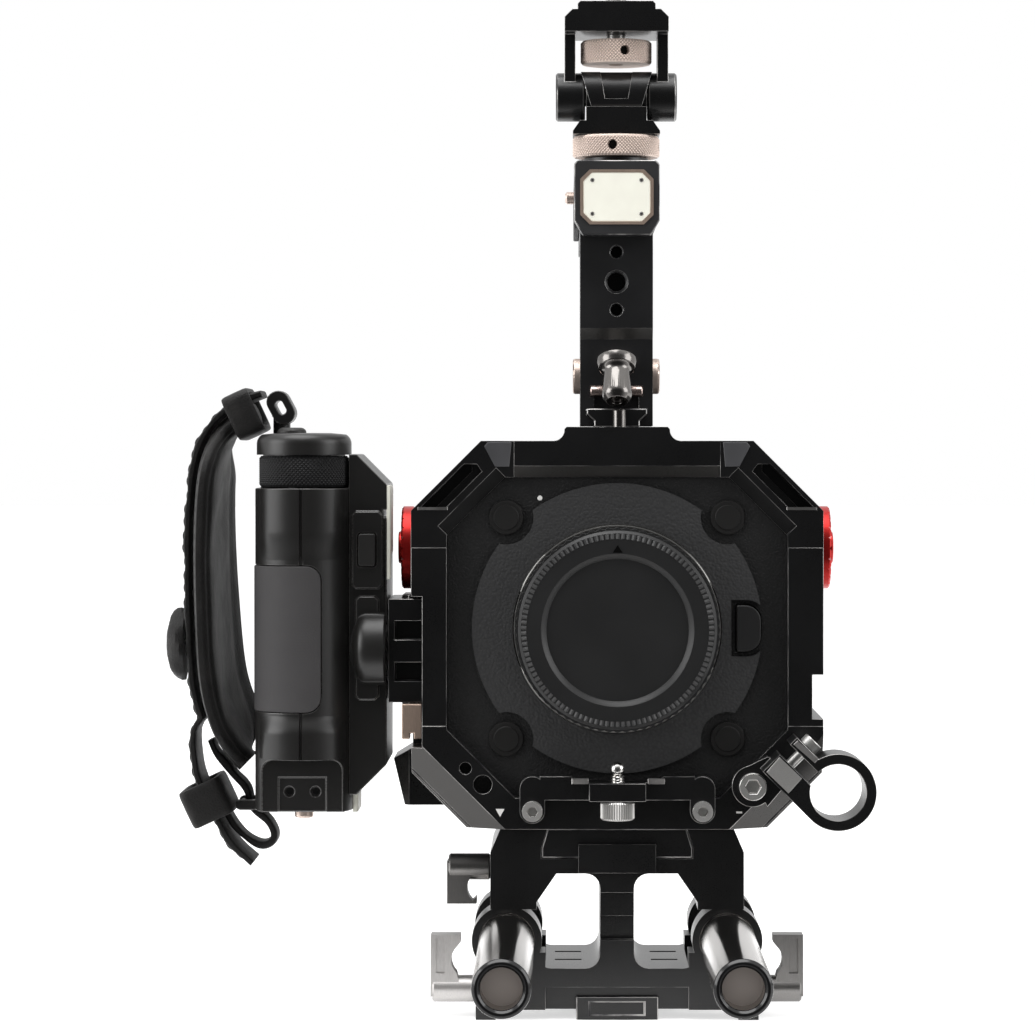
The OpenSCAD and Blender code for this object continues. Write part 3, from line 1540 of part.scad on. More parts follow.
module record_button() {
    color("#232324") translate([grip_x + record_x, grip_y, 0]) rotate_extrude()
        polygon([[0, crown_z1 - record_len], [record_r, crown_z1 - record_len],
            [record_r, crown_z1 + record_out - 0.8],
            [record_r - 1, crown_z1 + record_out], [0, crown_z1 + record_out]]);
}

module mode_button() {
    y0 = grip_y - housing_front;
    color("#29292a") along_y(y0 - housing_raise - mode_frame, y0 + mode_button[2] - apart)
        translate([mode_x, mode_z]) polygon(round_rect(mode_button[0], mode_button[1], 0.8));
}

module battery_knob() {
    color("#b98f7d") translate([grip_x, grip_y, 0]) rotate_extrude()
        polygon([[0, grip_z0 - knob_out], [knob_r - 0.4, grip_z0 - knob_out],
            [knob_r, grip_z0 - knob_out + 0.4], [knob_r, grip_z0 + knob_len], [0, grip_z0 + knob_len]]);
}

// Hand strap

// A smooth line through points, four steps between each pair
function smooth(p, n = 4) = [for (i = [0:len(p) - 2], k = [0:n - 1])
    let (a = p[max(i - 1, 0)], b = p[i], c = p[i + 1], d = p[min(i + 2, len(p) - 1)], t = k / n)
    0.5 * (2 * b + (c - a) * t + (2 * a - 5 * b + 4 * c - d) * t * t
        + (3 * b - a - 3 * c + d) * t * t * t)];
function line_of(p) = concat(smooth(p), [p[len(p) - 1]]);
function unit(v) = v / norm(v);
function across(p, i) = let (d = unit(p[min(i + 1, len(p) - 1)] - p[max(i - 1, 0)])) [d[1], -d[0]];

// A strap along a line in X and Z: each station has its section, as (width, thickness)
module swept(line, sections, y) {
    n = len(line);
    m = len(sections[0]);
    points = [for (i = [0:n - 1], s = sections[i]) let (c = line[i] + across(line, i) * s[1])
        [strap_left + c[0], y + s[0], lens_z + c[1]]];
    sides = [for (i = [0:n - 2], j = [0:m - 1]) let (a = i * m + j, b = i * m + (j + 1) % m)
        each [[a, b, b + m], [a, b + m, a + m]]];
    first = [for (j = [1:m - 2]) [0, j + 1, j]];
    last = [for (j = [1:m - 2]) [(n - 1) * m, (n - 1) * m + j, (n - 1) * m + j + 1]];
    polyhedron(points, concat(sides, first, last));
}

// How full the pad is: narrow at both ends, whole over the middle
function fullness(t) =
    let (u = max(0, min(1, min(t - pad_taper[0], 1 - t - pad_taper[1]) / pad_taper[2])))
    pad_end + (1 - pad_end) * u * u * (3 - 2 * u);

// Section of the pad: crowned, thin at the edges, bent round the hand
function bend(s, t) = -(pad_wrap[0] + pad_wrap[1] * t) * s * s * (1 + s) / 2
    * (fullness(t) - pad_end) / (1 - pad_end);
function pad_half(s) = pad_t / 2 * (1 - (1 - pad_edge) * pow(abs(s), 3));
function pad_section(t, n = 6) = let (w = fullness(t) * pad_w / 2) concat(
    [for (j = [0:n]) let (s = 2 * j / n - 1) [s * w, bend(s, t) + pad_half(s)]],
    [for (j = [n:-1:0]) let (s = 2 * j / n - 1) [s * w, bend(s, t) - pad_half(s)]]);
function flat_section(w, t0, t1) = [[-w / 2, t1], [w / 2, t1], [w / 2, t0], [-w / 2, t0]];
function offset_line(line, d) = [for (i = [0:len(line) - 1]) line[i] + across(line, i) * d];
function same(line, section) = [for (p = line) section];

pad_line = line_of(strap_line);
band_line = let (out = offset_line(pad_line, pad_t / 2 + apart))
    concat([for (i = [0:len(out) - 1 - band_drop]) out[i]], line_of(tail_line));

module strap_pad() {
    n = len(pad_line) - 1;
    color("#18181a") swept(pad_line, [for (i = [0:n]) pad_section(i / n)], strap_y);
}

module strap_band() {
    color("#1f1d1c") {
        swept(band_line, same(band_line, flat_section(band_w, 0, band_t)), strap_y);
        loop = line_of(loop_line);
        swept(loop, same(loop, flat_section(loop_w, 0, band_t)), strap_y);
    }
}

// A leather sleeve round the strap: which one, and its inner thickness and width
module keeper(i, inner_t, w) {
    color("#211f1e") translate([strap_left + keeper_at[i][0], strap_y, lens_z + keeper_at[i][1]])
        rotate([0, keeper_turn[i], 0]) linear_extrude(keeper_len[i], center = true) difference() {
            polygon(round_rect(inner_t + 2 * keeper_wall, w + 2 * keeper_wall, keeper_wall + 1));
            polygon(round_rect(inner_t, w, 1));
        }
}

module strap_keepers() {
    keeper(0, pad_t + band_t + 4 * apart, pad_end * pad_w + 4 * apart);
    keeper(1, 2 * band_t + 5 * apart + keeper_slack, band_w + 2 * apart);
}

module strap_button() {
    x = strap_left + strap_line[5][0] - pad_t / 2 - apart - band_t;
    color("#1a1817") translate([x, strap_y, lens_z + stud_z]) rotate([0, -90, 0]) rotate_extrude()
        polygon(concat([[0, apart], [stud_disc_r, apart], [stud_disc_r, 1.6]],
            arc([stud_disc_r - stud_h + 1.6, 1.6], stud_h - 1.6, 0, 75), [[0, stud_h]]));
}

module strap_anchor() {
    color("#161617") {
        pin_z(anchor_x, strap_y, 2.4, nape_z1, anchor_z - anchor[2] / 4);
        translate([anchor_x, strap_y, anchor_z]) rotate([90, anchor_tilt, 0])
            linear_extrude(anchor[1], center = true) difference() {
                polygon(round_rect(anchor[0], anchor[2], anchor[0] / 2 - 0.1));
                polygon(round_rect(anchor_hole[0], anchor_hole[1], 1));
            }
    }
}

base_arch();
tripod_foot();
rod_left();
rod_right();
lever_left();
lever_right();
lever_plate();
sliding_plate();
cage_bottom();
cage_side_left();
cage_side_right();
cage_corner_left();
cage_corner_right();
cage_top();
support_screws();
rosette_left();
rosette_right();
side_rail();
grip_clamp();
rail_tab();
top_rail();
lens_support();
jack_wheel();
camera_body();
mount_surround();
mount_ring();
image_sensor();
front_plugs();
lens_release();
body_cap();
camera_battery();
camera_terminals();
rod_holder();
holder_screws();
handle_frame();
handle_head();
name_plate();
handle_pads();
cross_pin();
handle_latch();
press_left();
press_right();
lock_ring();
tilt_base();
tilt_yoke();
tilt_shaft();
monitor_wheel();
grip_shell();
grip_panel();
grip_housing();
grip_crown();
focus_wheel();
record_button();
mode_button();
battery_knob();
strap_pad();
strap_band();
strap_keepers();
strap_anchor();
strap_button();
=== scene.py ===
"""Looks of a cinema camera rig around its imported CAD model, laid out as a Blender add-on.

The CAD pieces keep their shape and get bevelled edges and finishes. Knurled wheels, the hand strap
and small trim are surfaces worked out with numpy. Lengths in the code are millimetres.
"""

import json
import math

import bmesh
import bpy
import numpy as np
from bpy.props import FloatProperty, FloatVectorProperty, IntProperty, PointerProperty
from mathutils import Matrix, Vector

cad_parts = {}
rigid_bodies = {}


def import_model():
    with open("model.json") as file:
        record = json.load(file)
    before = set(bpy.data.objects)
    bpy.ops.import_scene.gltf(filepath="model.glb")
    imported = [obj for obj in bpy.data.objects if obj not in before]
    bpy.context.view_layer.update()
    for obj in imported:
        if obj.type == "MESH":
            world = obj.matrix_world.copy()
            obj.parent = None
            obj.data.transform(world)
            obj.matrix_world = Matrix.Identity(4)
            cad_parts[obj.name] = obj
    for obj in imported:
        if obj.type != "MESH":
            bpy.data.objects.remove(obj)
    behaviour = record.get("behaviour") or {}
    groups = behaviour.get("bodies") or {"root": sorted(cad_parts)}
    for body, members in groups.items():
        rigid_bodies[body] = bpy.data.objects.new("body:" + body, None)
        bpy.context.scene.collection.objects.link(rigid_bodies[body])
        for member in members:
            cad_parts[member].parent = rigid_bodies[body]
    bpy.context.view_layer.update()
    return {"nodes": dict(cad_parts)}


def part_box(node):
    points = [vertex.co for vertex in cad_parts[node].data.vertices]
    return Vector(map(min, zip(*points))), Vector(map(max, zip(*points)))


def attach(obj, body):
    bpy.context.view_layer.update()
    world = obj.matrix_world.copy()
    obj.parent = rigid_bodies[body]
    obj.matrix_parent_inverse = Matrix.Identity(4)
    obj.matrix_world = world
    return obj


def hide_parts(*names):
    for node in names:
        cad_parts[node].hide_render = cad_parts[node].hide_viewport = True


bl_info = {
    "name": "Cinema camera rig",
    "version": (1, 0, 0),
    "blender": (4, 5, 0),
    "location": "View3D > Sidebar > Rig",
    "description": "Finishes, knurled wheels, hand strap, trim and studio for a camera rig",
    "category": "Object",
}

for leftover in list(bpy.data.objects):
    bpy.data.objects.remove(leftover)
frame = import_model()
MM = 0.001
TURN = 2 * math.pi


def low(node):
    """Lowest corner of a CAD node, in millimetres."""
    return np.array(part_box(node)[0]) / MM


def high(node):
    """Highest corner of a CAD node, in millimetres."""
    return np.array(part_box(node)[1]) / MM


def size_of(node):
    """Lengths of a CAD node along the three axes, in millimetres."""
    return high(node) - low(node)


def middle_of(node):
    """Middle of a CAD node's box, in millimetres."""
    return (low(node) + high(node)) / 2


LENS_Z = middle_of("body_cap")[2]

# Sizes and colours


def length(name, text, default):
    """A length property in metres, from a default in millimetres."""
    return FloatProperty(name=name, description=text, default=default * MM, unit="LENGTH")


def colour(name, text, default):
    """A colour property, with linear values."""
    return FloatVectorProperty(name=name, description=text, default=default, subtype="COLOR",
                               size=3, min=0.0, max=1.0)


class RigSizes(bpy.types.PropertyGroup):
    """Sizes that a user would change."""

    edge: length("Edge bevel", "Width of the bevel on machined edges", 0.4)
    soft_edge: length("Moulded edge", "Width of the rounding on moulded edges", 0.35)
    knurl_depth: length("Knurl depth", "Depth of the grooves on knurled wheels", 0.32)
    knurl_pitch: length("Knurl pitch", "Distance between grooves round a wheel", 0.95)
    stitch: length("Stitch", "Length of a stitch on the strap", 2.4)
    stitch_gap: length("Stitch gap", "Distance between stitches on the strap", 1.3)
    holes: IntProperty(name="Wheel holes", description="Tool holes round a rose wheel", default=4,
                       min=2, max=8)


class RigColours(bpy.types.PropertyGroup):
    """Colours that a user would change."""

    black: colour("Black anodising", "Colour of the black metal", (0.0042, 0.0042, 0.0045))
    edge: colour("Machined edge", "Colour of the bright edges", (0.44, 0.43, 0.42))
    rose: colour("Rose metal", "Colour of the knurled rings", (0.72, 0.59, 0.52))
    red: colour("Red anodising", "Colour of the rosettes", (0.48, 0.018, 0.016))
    steel: colour("Steel", "Colour of the screws", (0.74, 0.73, 0.71))
    gunmetal: colour("Gunmetal", "Colour of the levers", (0.25, 0.243, 0.236))
    rod: colour("Rod", "Colour of the rods", (0.52, 0.49, 0.465))
    shell: colour("Camera shell", "Colour of the camera", (0.0085, 0.0085, 0.0087))
    plastic: colour("Grip plastic", "Colour of the grip", (0.0105, 0.0100, 0.0096))
    rubber: colour("Rubber", "Colour of the grip panel", (0.05, 0.048, 0.049))
    leather: colour("Leather", "Colour of the hand strap", (0.0062, 0.0056, 0.0053))
    cream: colour("Name plate", "Colour of the bare plate", (0.96, 0.94, 0.83))


# Shader maths


class Wire:
    """A value in a node tree: arithmetic on it adds Math nodes, and add() makes any other node."""

    def __init__(self, tree, socket):
        self.tree = tree
        self.socket = socket

    def math(self, operation, *values):
        """A Math node with this operation on the values."""
        return self.add("ShaderNodeMath", {"operation": operation}, dict(enumerate(values)))

    def add(self, kind, settings=None, inputs=None, out=0):
        """A node of this type: its settings first, then values or links, by socket name or place."""
        node = self.tree.nodes.new(kind)
        for key, value in (settings or {}).items():
            setattr(node, key, value)
        for key, value in (inputs or {}).items():
            if isinstance(value, Wire):
                self.tree.links.new(value.socket, node.inputs[key])
            else:
                node.inputs[key].default_value = value
        return Wire(self.tree, node.outputs[out]) if len(node.outputs) else None

    def __add__(self, other):
        return self.math("ADD", self, other)

    def __radd__(self, other):
        return self.math("ADD", other, self)

    def __sub__(self, other):
        return self.math("SUBTRACT", self, other)

    def __rsub__(self, other):
        return self.math("SUBTRACT", other, self)

    def __mul__(self, other):
        return self.math("MULTIPLY", self, other)

    def __rmul__(self, other):
        return self.math("MULTIPLY", other, self)

    def __lt__(self, other):
        return self.math("LESS_THAN", self, other)

    def __gt__(self, other):
        return self.math("GREATER_THAN", self, other)

    def __abs__(self):
        return self.math("ABSOLUTE", self)

    def sin(self):
        """The sine of the value."""
        return self.math("SINE", self)

    def sqrt(self):
        """The square root of the value."""
        return self.math("SQRT", self)

    def at_most(self, top):
        """The value, or the top where the value is over it."""
        return self.math("MINIMUM", self, top)

    def step(self, start, end):
        """A smooth step from 0 at start to 1 at end."""
        return self.add("ShaderNodeMapRange", {"interpolation_type": "SMOOTHSTEP"},
                        {"Value": self, "From Min": start, "From Max": end})


class Finish:
    """A material under construction: its tree, object coordinates in millimetres and parts of them."""

    def __init__(self, name):
        self.material = bpy.data.materials.new(name)
        self.material.use_nodes = True
        tree = self.material.node_tree
        tree.nodes.clear()
        self.root = Wire(tree, None)
        place = self.add("ShaderNodeTexCoord", out=3)
        self.place = self.add("ShaderNodeVectorMath", {"operation": "SCALE"},
                              {0: place, "Scale": 1 / MM})

    def add(self, kind, settings=None, inputs=None, out=0):
        """A node of this material's tree."""
        return self.root.add(kind, settings, inputs, out)

    def axis(self, name):
        """One of the coordinates X, Y and Z, in millimetres."""
        return self.add("ShaderNodeSeparateXYZ", None, {0: self.place}, "XYZ".index(name))

    def noise(self, size, detail=2.0, stretch=(1, 1, 1)):
        """Noise with features of this size in millimetres, stretched along the axes."""
        place = self.add("ShaderNodeMapping", None,
                         {"Vector": self.place, "Scale": [1 / (size * s) for s in stretch]})
        return self.add("ShaderNodeTexNoise", None,
                        {"Vector": place, "Scale": 1.0, "Detail": detail, "Roughness": 0.5})

    def cells(self, size, feature):
        """Distance in a pattern of cells of this size in millimetres."""
        return self.add("ShaderNodeTexVoronoi", {"feature": feature},
                        {"Vector": self.place, "Scale": 1 / size})

    def attribute(self, name):
        """A value that the piece's own vertices carry."""
        return self.add("ShaderNodeAttribute", {"attribute_name": name}, None, 2)

    def blend(self, mask, first, second):
        """A colour that goes from the first to the second with the mask."""
        return self.add("ShaderNodeMix", {"data_type": "RGBA"}, {0: mask, 6: first, 7: second}, 2)

    def relief(self, height, depth, strength):
        """A normal from a height of 0 to 1 that stands for this depth in millimetres."""
        return self.add("ShaderNodeBump", None,
                        {"Strength": strength, "Distance": depth * MM, "Height": height})

    def close(self, base, rough, metal=0.0, normal=None, **constants):
        """Ends the tree in a Principled shader and gives the material back."""
        inputs = {"Base Color": base, "Roughness": rough, "Metallic": metal}
        if normal:
            inputs["Normal"] = normal
        inputs.update({key.replace("_", " "): value for key, value in constants.items()})
        shader = self.add("ShaderNodeBsdfPrincipled", None, inputs)
        self.add("ShaderNodeOutputMaterial", None, {"Surface": shader})
        return self.material


# Finishes

# Painted highlight: the lighter metal of slanted facets
FACET_HIGHLIGHT_METAL = (0.055, 0.053, 0.051)
# Painted shade: the black inside the holes of knurled wheels
HOLE_SHADE_BLACK = (0.006, 0.006, 0.006)
# Partly a painted reflection: the light brown of the rods' bores
WELL_REFLECTION_BROWN = (0.48, 0.43, 0.40)
SENSOR_DARK = (0.012, 0.05, 0.04)
SENSOR_LIGHT = (0.03, 0.09, 0.07)
WHITE = (1.0, 1.0, 1.0)
# How far the tool lines of a metal are drawn out along the three axes
EVEN = (1, 1, 1)
ALONG_Z = (1, 1, 9)


def shade(rgb, factor):
    """A colour made lighter or darker."""
    return [min(1.0, c * factor) for c in rgb]


def tone(rgb, factor=1.0):
    """A shade of a colour, with its alpha."""
    return shade(rgb, factor) + [1.0]


def blasted(name, rgb, rough=0.27, specular=0.55, milled_and_lit_facets=True):
    """Anodised metal after bead blasting: fine grain in the relief, broad faint clouds in the colour,
    and a painted highlight: lighter metal on the larger faces that lean between the front and a side."""
    f = Finish(name)
    fine = f.noise(0.22, 3.0)
    cloud = f.noise(24.0, 3.0)
    base = f.blend(cloud.step(0.3, 0.7), tone(rgb, 0.8), tone(rgb, 1.35))
    metal = 0.0
    if milled_and_lit_facets:
        # Painted highlight: the marked facets take lighter metal
        facet = f.attribute("facet")
        base = f.blend(facet, base, tone(FACET_HIGHLIGHT_METAL))
        metal = 0.6 * facet
    return f.close(base, rough - 0.06 + 0.12 * fine + 0.05 * cloud, metal,
                   f.relief(fine, 0.02, 0.5), Specular_IOR_Level=specular)


def worn(name, bright, film):
    """An edge that has lost its black film in places: bright metal and film take turns along it."""
    f = Finish(name)
    bare = f.noise(9.0, 3.0).step(0.34, 0.58)
    fine = f.noise(0.4, 2.0)
    base = f.blend(bare, tone(film, 9.0), tone(bright))
    return f.close(base, 0.26 + 0.14 * fine, 0.5 + 0.5 * bare, f.relief(fine, 0.01, 0.4))


def machined(name, rgb, rough, along=ALONG_Z, metal=1.0):
    """Bare or bright metal with fine tool lines, drawn out along the axes, and small dull patches."""
    f = Finish(name)
    lines = f.noise(0.18, 3.0, along)
    patch = f.noise(3.5, 2.0)
    base = f.blend(lines, tone(rgb, 0.78), tone(rgb, 1.12))
    return f.close(base, rough - 0.08 + 0.12 * lines + 0.1 * patch, metal,
                   f.relief(lines, 0.008, 0.5))


def knurled(name, rgb, rough=0.4, metal=0.45):
    """Metal of a knurled wheel: darker and duller where the piece's own groove value is high, and
    black in the holes, where it is over 1: painted shade, with painted light on the ridges."""
    f = Finish(name)
    groove = f.attribute("groove")
    fine = f.noise(0.3, 3.0)
    hole = groove.step(1.05, 1.5)
    # Painted light and shade: ridges lighter, grooves darker, holes black
    rim = f.blend(groove, tone(rgb, 1.4), tone(rgb, 0.62))
    base = f.blend(hole, rim, tone(HOLE_SHADE_BLACK))
    return f.close(base, rough + 0.22 * groove + 0.1 * fine, metal - metal * hole,
                   f.relief(fine, 0.01, 0.4))


def moulded(name, rgb, rough, grain, depth, specular=0.4):
    """Moulded plastic with a spark-eroded skin: fine pits, and a slow change of gloss."""
    f = Finish(name)
    pits = f.noise(grain, 4.0)
    slow = f.noise(16.0, 2.0)
    base = f.blend(slow, tone(rgb, 0.85), tone(rgb, 1.2))
    return f.close(base, rough - 0.08 + 0.1 * pits + 0.1 * slow, 0.0, f.relief(pits, depth, 0.6),
                   Specular_IOR_Level=specular)


def crinkled(name, rgb, rough=0.5, size=0.5):
    """Crinkle paint of a camera body: small raised cells with dull valleys between them."""
    f = Finish(name)
    cell = f.cells(size, "SMOOTH_F1")
    fine = f.noise(0.25, 3.0)
    height = 1 - cell.step(0.15, 0.75) + 0.3 * fine
    base = f.blend(cell, tone(rgb, 1.25), tone(rgb, 0.75))
    return f.close(base, rough - 0.1 + 0.22 * cell, 0.0, f.relief(height, 0.1, 0.9),
                   Specular_IOR_Level=0.42)


def rubbery(name, rgb):
    """Rubber with a fine grid of dots: sine waves round the grip, times sine waves along it."""
    f = Finish(name)
    pitch = 0.8
    x, y, z = ((f.axis(a) * (TURN / pitch)).sin() for a in "XYZ")
    dots = (x + y) * z * 0.25 + 0.5
    fine = f.noise(0.5, 4.0)
    slow = f.noise(14.0)
    base = f.blend(slow, tone(rgb, 0.85), tone(rgb, 1.2))
    return f.close(base, 0.62 + 0.16 * fine, 0.0, f.relief(dots * 0.7 + fine * 0.6, 0.05, 0.5),
                   Specular_IOR_Level=0.3)


def leathery(name, rgb, rough=0.56):
    """Leather: pebbled cells broken by creases, with gloss on the pebbles and worn lighter spots."""
    f = Finish(name)
    pebble = f.cells(0.9, "DISTANCE_TO_EDGE")
    crease = f.noise(2.2, 5.0, (1, 1, 2.4))
    rubbed = f.noise(11.0, 4.0)
    height = pebble.step(0.0, 0.25) * 0.6 + crease * 0.7
    base = f.blend(rubbed.step(0.5, 0.75), tone(rgb, 0.8), tone(rgb, 2.0))
    return f.close(base, rough - 0.1 + 0.25 * crease, 0.0, f.relief(height, 0.12, 0.6),
                   Specular_IOR_Level=0.3, Sheen_Weight=0.03)


def rod_metal(name, rgb, black):
    """A polished rod along Y: fine rings of a lathe, a black ring at its front and a dull light brown
    bore, whose colour is partly a painted reflection.

    Both rods share it, so X counts from the middle plane. Places are distances from the rod's axis
    and from its front."""
    f = Finish(name)
    start, end = low("rod_right"), high("rod_right")
    rod_r, ring_r, ring_l, well_r = (end - start)[0] / 2, 5.0, 1.0, 5.25
    out = abs(f.axis("X")) - (end[0] - rod_r)
    up = f.axis("Z") - (start[2] + rod_r)
    radius = (out * out + up * up).sqrt()
    ring = (f.axis("Y") - start[1] < ring_l) * (radius > ring_r)
    well = radius < well_r
    lines = f.noise(0.25, 3.0, (40, 1, 40))
    metal = f.blend(lines, tone(rgb, 0.9), tone(rgb, 1.1))
    dark = f.blend(ring, metal, tone(black, 1.6))
    # Partly a painted reflection: the bore's light brown, raised against its shade
    base = f.blend(well, dark, tone(WELL_REFLECTION_BROWN))
    return f.close(base, 0.14 + 0.05 * lines + 0.3 * well, 1.0 - (ring + well).at_most(1.0),
                   f.relief(lines, 0.004, 0.4))


def sensor_glass(name):
    """The sensor's cover: deep green under a clear coat, with faint lines of its rows."""
    f = Finish(name)
    rows = f.noise(0.3, 1.0, (60, 1, 1))
    base = f.blend(rows, tone(SENSOR_DARK), tone(SENSOR_LIGHT))
    return f.close(base, 0.1 + 0.1 * rows, 0.3, None, Coat_Weight=1.0)


def painted(name, rgb):
    """Satin paint on the bare plate: fine speckle and a slow cloud."""
    f = Finish(name)
    fine = f.noise(0.3, 3.0)
    cloud = f.noise(6.0, 2.0)
    base = f.blend(cloud, tone(rgb, 0.92), tone(rgb, 1.06))
    return f.close(base, 0.38 + 0.12 * fine, 0.0, f.relief(fine, 0.012, 0.5))


def metals(c):
    """The metal finishes, from the rig's colours."""
    return {
        "black_aluminium": blasted("black_aluminium", c.black),
        "corner_aluminium": blasted("corner_aluminium", c.black, milled_and_lit_facets=False),
        # Painted highlight: the lighter metal of the lands on the cage's corners
        "land_highlight_aluminium": blasted("land_highlight_aluminium", shade(c.black, 13.0), rough=0.36, milled_and_lit_facets=False),
        "post_metal": blasted("post_metal", shade(c.black, 2.6), rough=0.3),
        "head_metal": blasted("head_metal", shade(c.black, 5.0), rough=0.36, specular=0.9),
        "edge": worn("worn_edge", c.edge, c.black),
        "gunmetal": machined("gunmetal", c.gunmetal, rough=0.34),
        "silver_lever": machined("silver_lever", (0.55, 0.535, 0.525), rough=0.4),
        "rod_metal": rod_metal("rod_metal", c.rod, c.black),
        "rose_metal": machined("rose_metal", c.rose, rough=0.36, metal=0.8),
        "tab_rose": machined("tab_rose", (0.56, 0.43, 0.35), rough=0.4, metal=0.8),
        "pale_rose": machined("pale_rose", (0.72, 0.58, 0.53), rough=0.24),
        "rose_knurl": knurled("rose_knurl", c.rose),
        "black_knurl": knurled("black_knurl", shade(c.black, 2.2), rough=0.42, metal=0.3),
        "steel_knurl": knurled("steel_knurl", shade(c.steel, 0.72), rough=0.24, metal=0.7),
        "red_metal": machined("red_metal", c.red, rough=0.3, along=EVEN, metal=0.75),
        "screw_steel": machined("screw_steel", c.steel, rough=0.32, along=EVEN, metal=0.85),
        "dark_chrome": machined("dark_chrome", (0.19, 0.18, 0.172), rough=0.16, along=EVEN),
        "chrome": machined("chrome", c.steel, rough=0.16, along=EVEN),
        "mount_steel": machined("mount_steel", (0.20, 0.197, 0.19), rough=0.28, along=EVEN),
    }


def skins(c):
    """The finishes of plastic, rubber, paint, glass and leather, from the rig's colours."""
    return {
        "camera_shell": crinkled("camera_shell", c.shell),
        "surround": crinkled("surround", shade(c.shell, 3.8), rough=0.48, size=0.7),
        "cap_plastic": moulded("cap_plastic", shade(c.shell, 1.6), rough=0.4, grain=0.2,
                               depth=0.012),
        # Painted highlight: the cap's bevelled edges in a lighter plastic
        "cap_edge_highlight": moulded("cap_edge_highlight", shade(c.shell, 4.0), rough=0.3, grain=0.2, depth=0.01,
                            specular=0.8),
        # Painted highlight: the cap's reeds in a lighter plastic
        "cap_reed_highlight": moulded("cap_reed_highlight", shade(c.shell, 2.4), rough=0.28, grain=0.2, depth=0.01,
                            specular=0.7),
        "dark_mark": moulded("dark_mark", shade(WHITE, 0.0012), rough=0.8, grain=0.3, depth=0.01,
                             specular=0.06),
        "plug_rubber": moulded("plug_rubber", shade(c.plastic, 0.75), rough=0.58, grain=0.3,
                               depth=0.02, specular=0.3),
        "grip_plastic": moulded("grip_plastic", c.plastic, rough=0.34, grain=0.3, depth=0.02,
                                specular=0.5),
        # Painted highlight: the grip's bevelled edges in a lighter plastic
        "grip_edge_highlight": moulded("grip_edge_highlight", shade(c.plastic, 3.0), rough=0.26, grain=0.3, depth=0.01,
                             specular=0.9),
        "button_plastic": moulded("button_plastic", shade(c.plastic, 1.5), rough=0.46, grain=0.25,
                                  depth=0.02),
        "sensor_glass": sensor_glass("sensor_glass"),
        "grip_rubber": rubbery("grip_rubber", c.rubber),
        "plate_cream": painted("plate_cream", c.cream),
        "white_mark": painted("white_mark", (0.8, 0.79, 0.77)),
        "strap_leather": leathery("strap_leather", c.leather),
        "thread": leathery("strap_thread", shade(c.leather, 2.2), rough=0.7),
    }


# All finishes by name, filled when the CAD pieces are dressed
FINISH = {}

# CAD nodes by finish: their own, the one on their bevelled edges, and whether the edge is soft
NODE_FINISHES = [
    ("black_aluminium", "edge", False, [
        "base_arch", "tripod_foot", "cage_bottom", "cage_side_left", "cage_side_right", "cage_top",
        "top_rail", "side_rail", "grip_clamp", "lens_support", "rod_holder", "tilt_base",
        "tilt_yoke", "sliding_plate"]),
    ("post_metal", "edge", False, ["handle_frame"]),
    ("corner_aluminium", "edge", False, ["cage_corner_left", "cage_corner_right"]),
    ("head_metal", "edge", False, ["handle_head"]),
    ("rod_metal", "rod_metal", False, ["rod_left", "rod_right"]),
    ("silver_lever", "silver_lever", False, ["lever_left"]),
    ("gunmetal", "gunmetal", False, ["lever_right", "lever_plate", "tilt_shaft"]),
    ("rose_metal", "rose_metal", False, ["press_left", "press_right", "battery_knob"]),
    ("tab_rose", "tab_rose", False, ["rail_tab"]),
    ("pale_rose", "pale_rose", False, ["cross_pin"]),
    ("red_metal", "red_metal", False, ["rosette_left", "rosette_right"]),
    ("screw_steel", "chrome", False, ["support_screws", "holder_screws", "camera_terminals"]),
    ("dark_chrome", "dark_chrome", False, ["handle_latch"]),
    ("mount_steel", "mount_steel", False, ["mount_ring"]),
    ("camera_shell", "camera_shell", True, ["camera_body"]),
    ("surround", "surround", False, ["mount_surround"]),
    # The cap's bevelled edges take a lighter plastic: a painted highlight
    ("cap_plastic", "cap_edge_highlight", False, ["body_cap"]),
    ("cap_plastic", "cap_plastic", False, ["lens_release"]),
    ("plug_rubber", "plug_rubber", False, ["front_plugs"]),
    ("button_plastic", "button_plastic", False, ["mode_button", "record_button", "camera_battery"]),
    ("sensor_glass", "sensor_glass", False, ["image_sensor"]),
    # The grip's bevelled edges take a lighter plastic: a painted highlight
    ("grip_plastic", "grip_edge_highlight", True, ["grip_shell", "grip_housing", "strap_anchor"]),
    ("grip_plastic", "grip_edge_highlight", False, ["grip_crown"]),
    ("grip_rubber", "grip_rubber", True, ["grip_panel", "handle_pads"]),
    ("plate_cream", "plate_cream", False, ["name_plate"]),
]

# Modifiers: points that are welded, faces that count as one, edges that are bevelled or stay sharp
WELD_GAP = 0.002
FLAT_ANGLE = math.radians(0.6)
BEVEL_ANGLE = math.radians(32)
SHARP_ANGLE = math.radians(30)
# Faces that lean this far to the front, and are larger than this in square millimetres, are facets
# that take a painted highlight
FACET_LEAN = (0.2, 0.95)
FACET_AREA = 5.0


def mesh_group(name):
    """A geometry node group with one mesh in and one mesh out, and the mesh that comes in."""
    group = bpy.data.node_groups.new(name, "GeometryNodeTree")
    for way in ("INPUT", "OUTPUT"):
        group.interface.new_socket("Geometry", in_out=way, socket_type="NodeSocketGeometry")
    return group, Wire(group, None).add("NodeGroupInput")


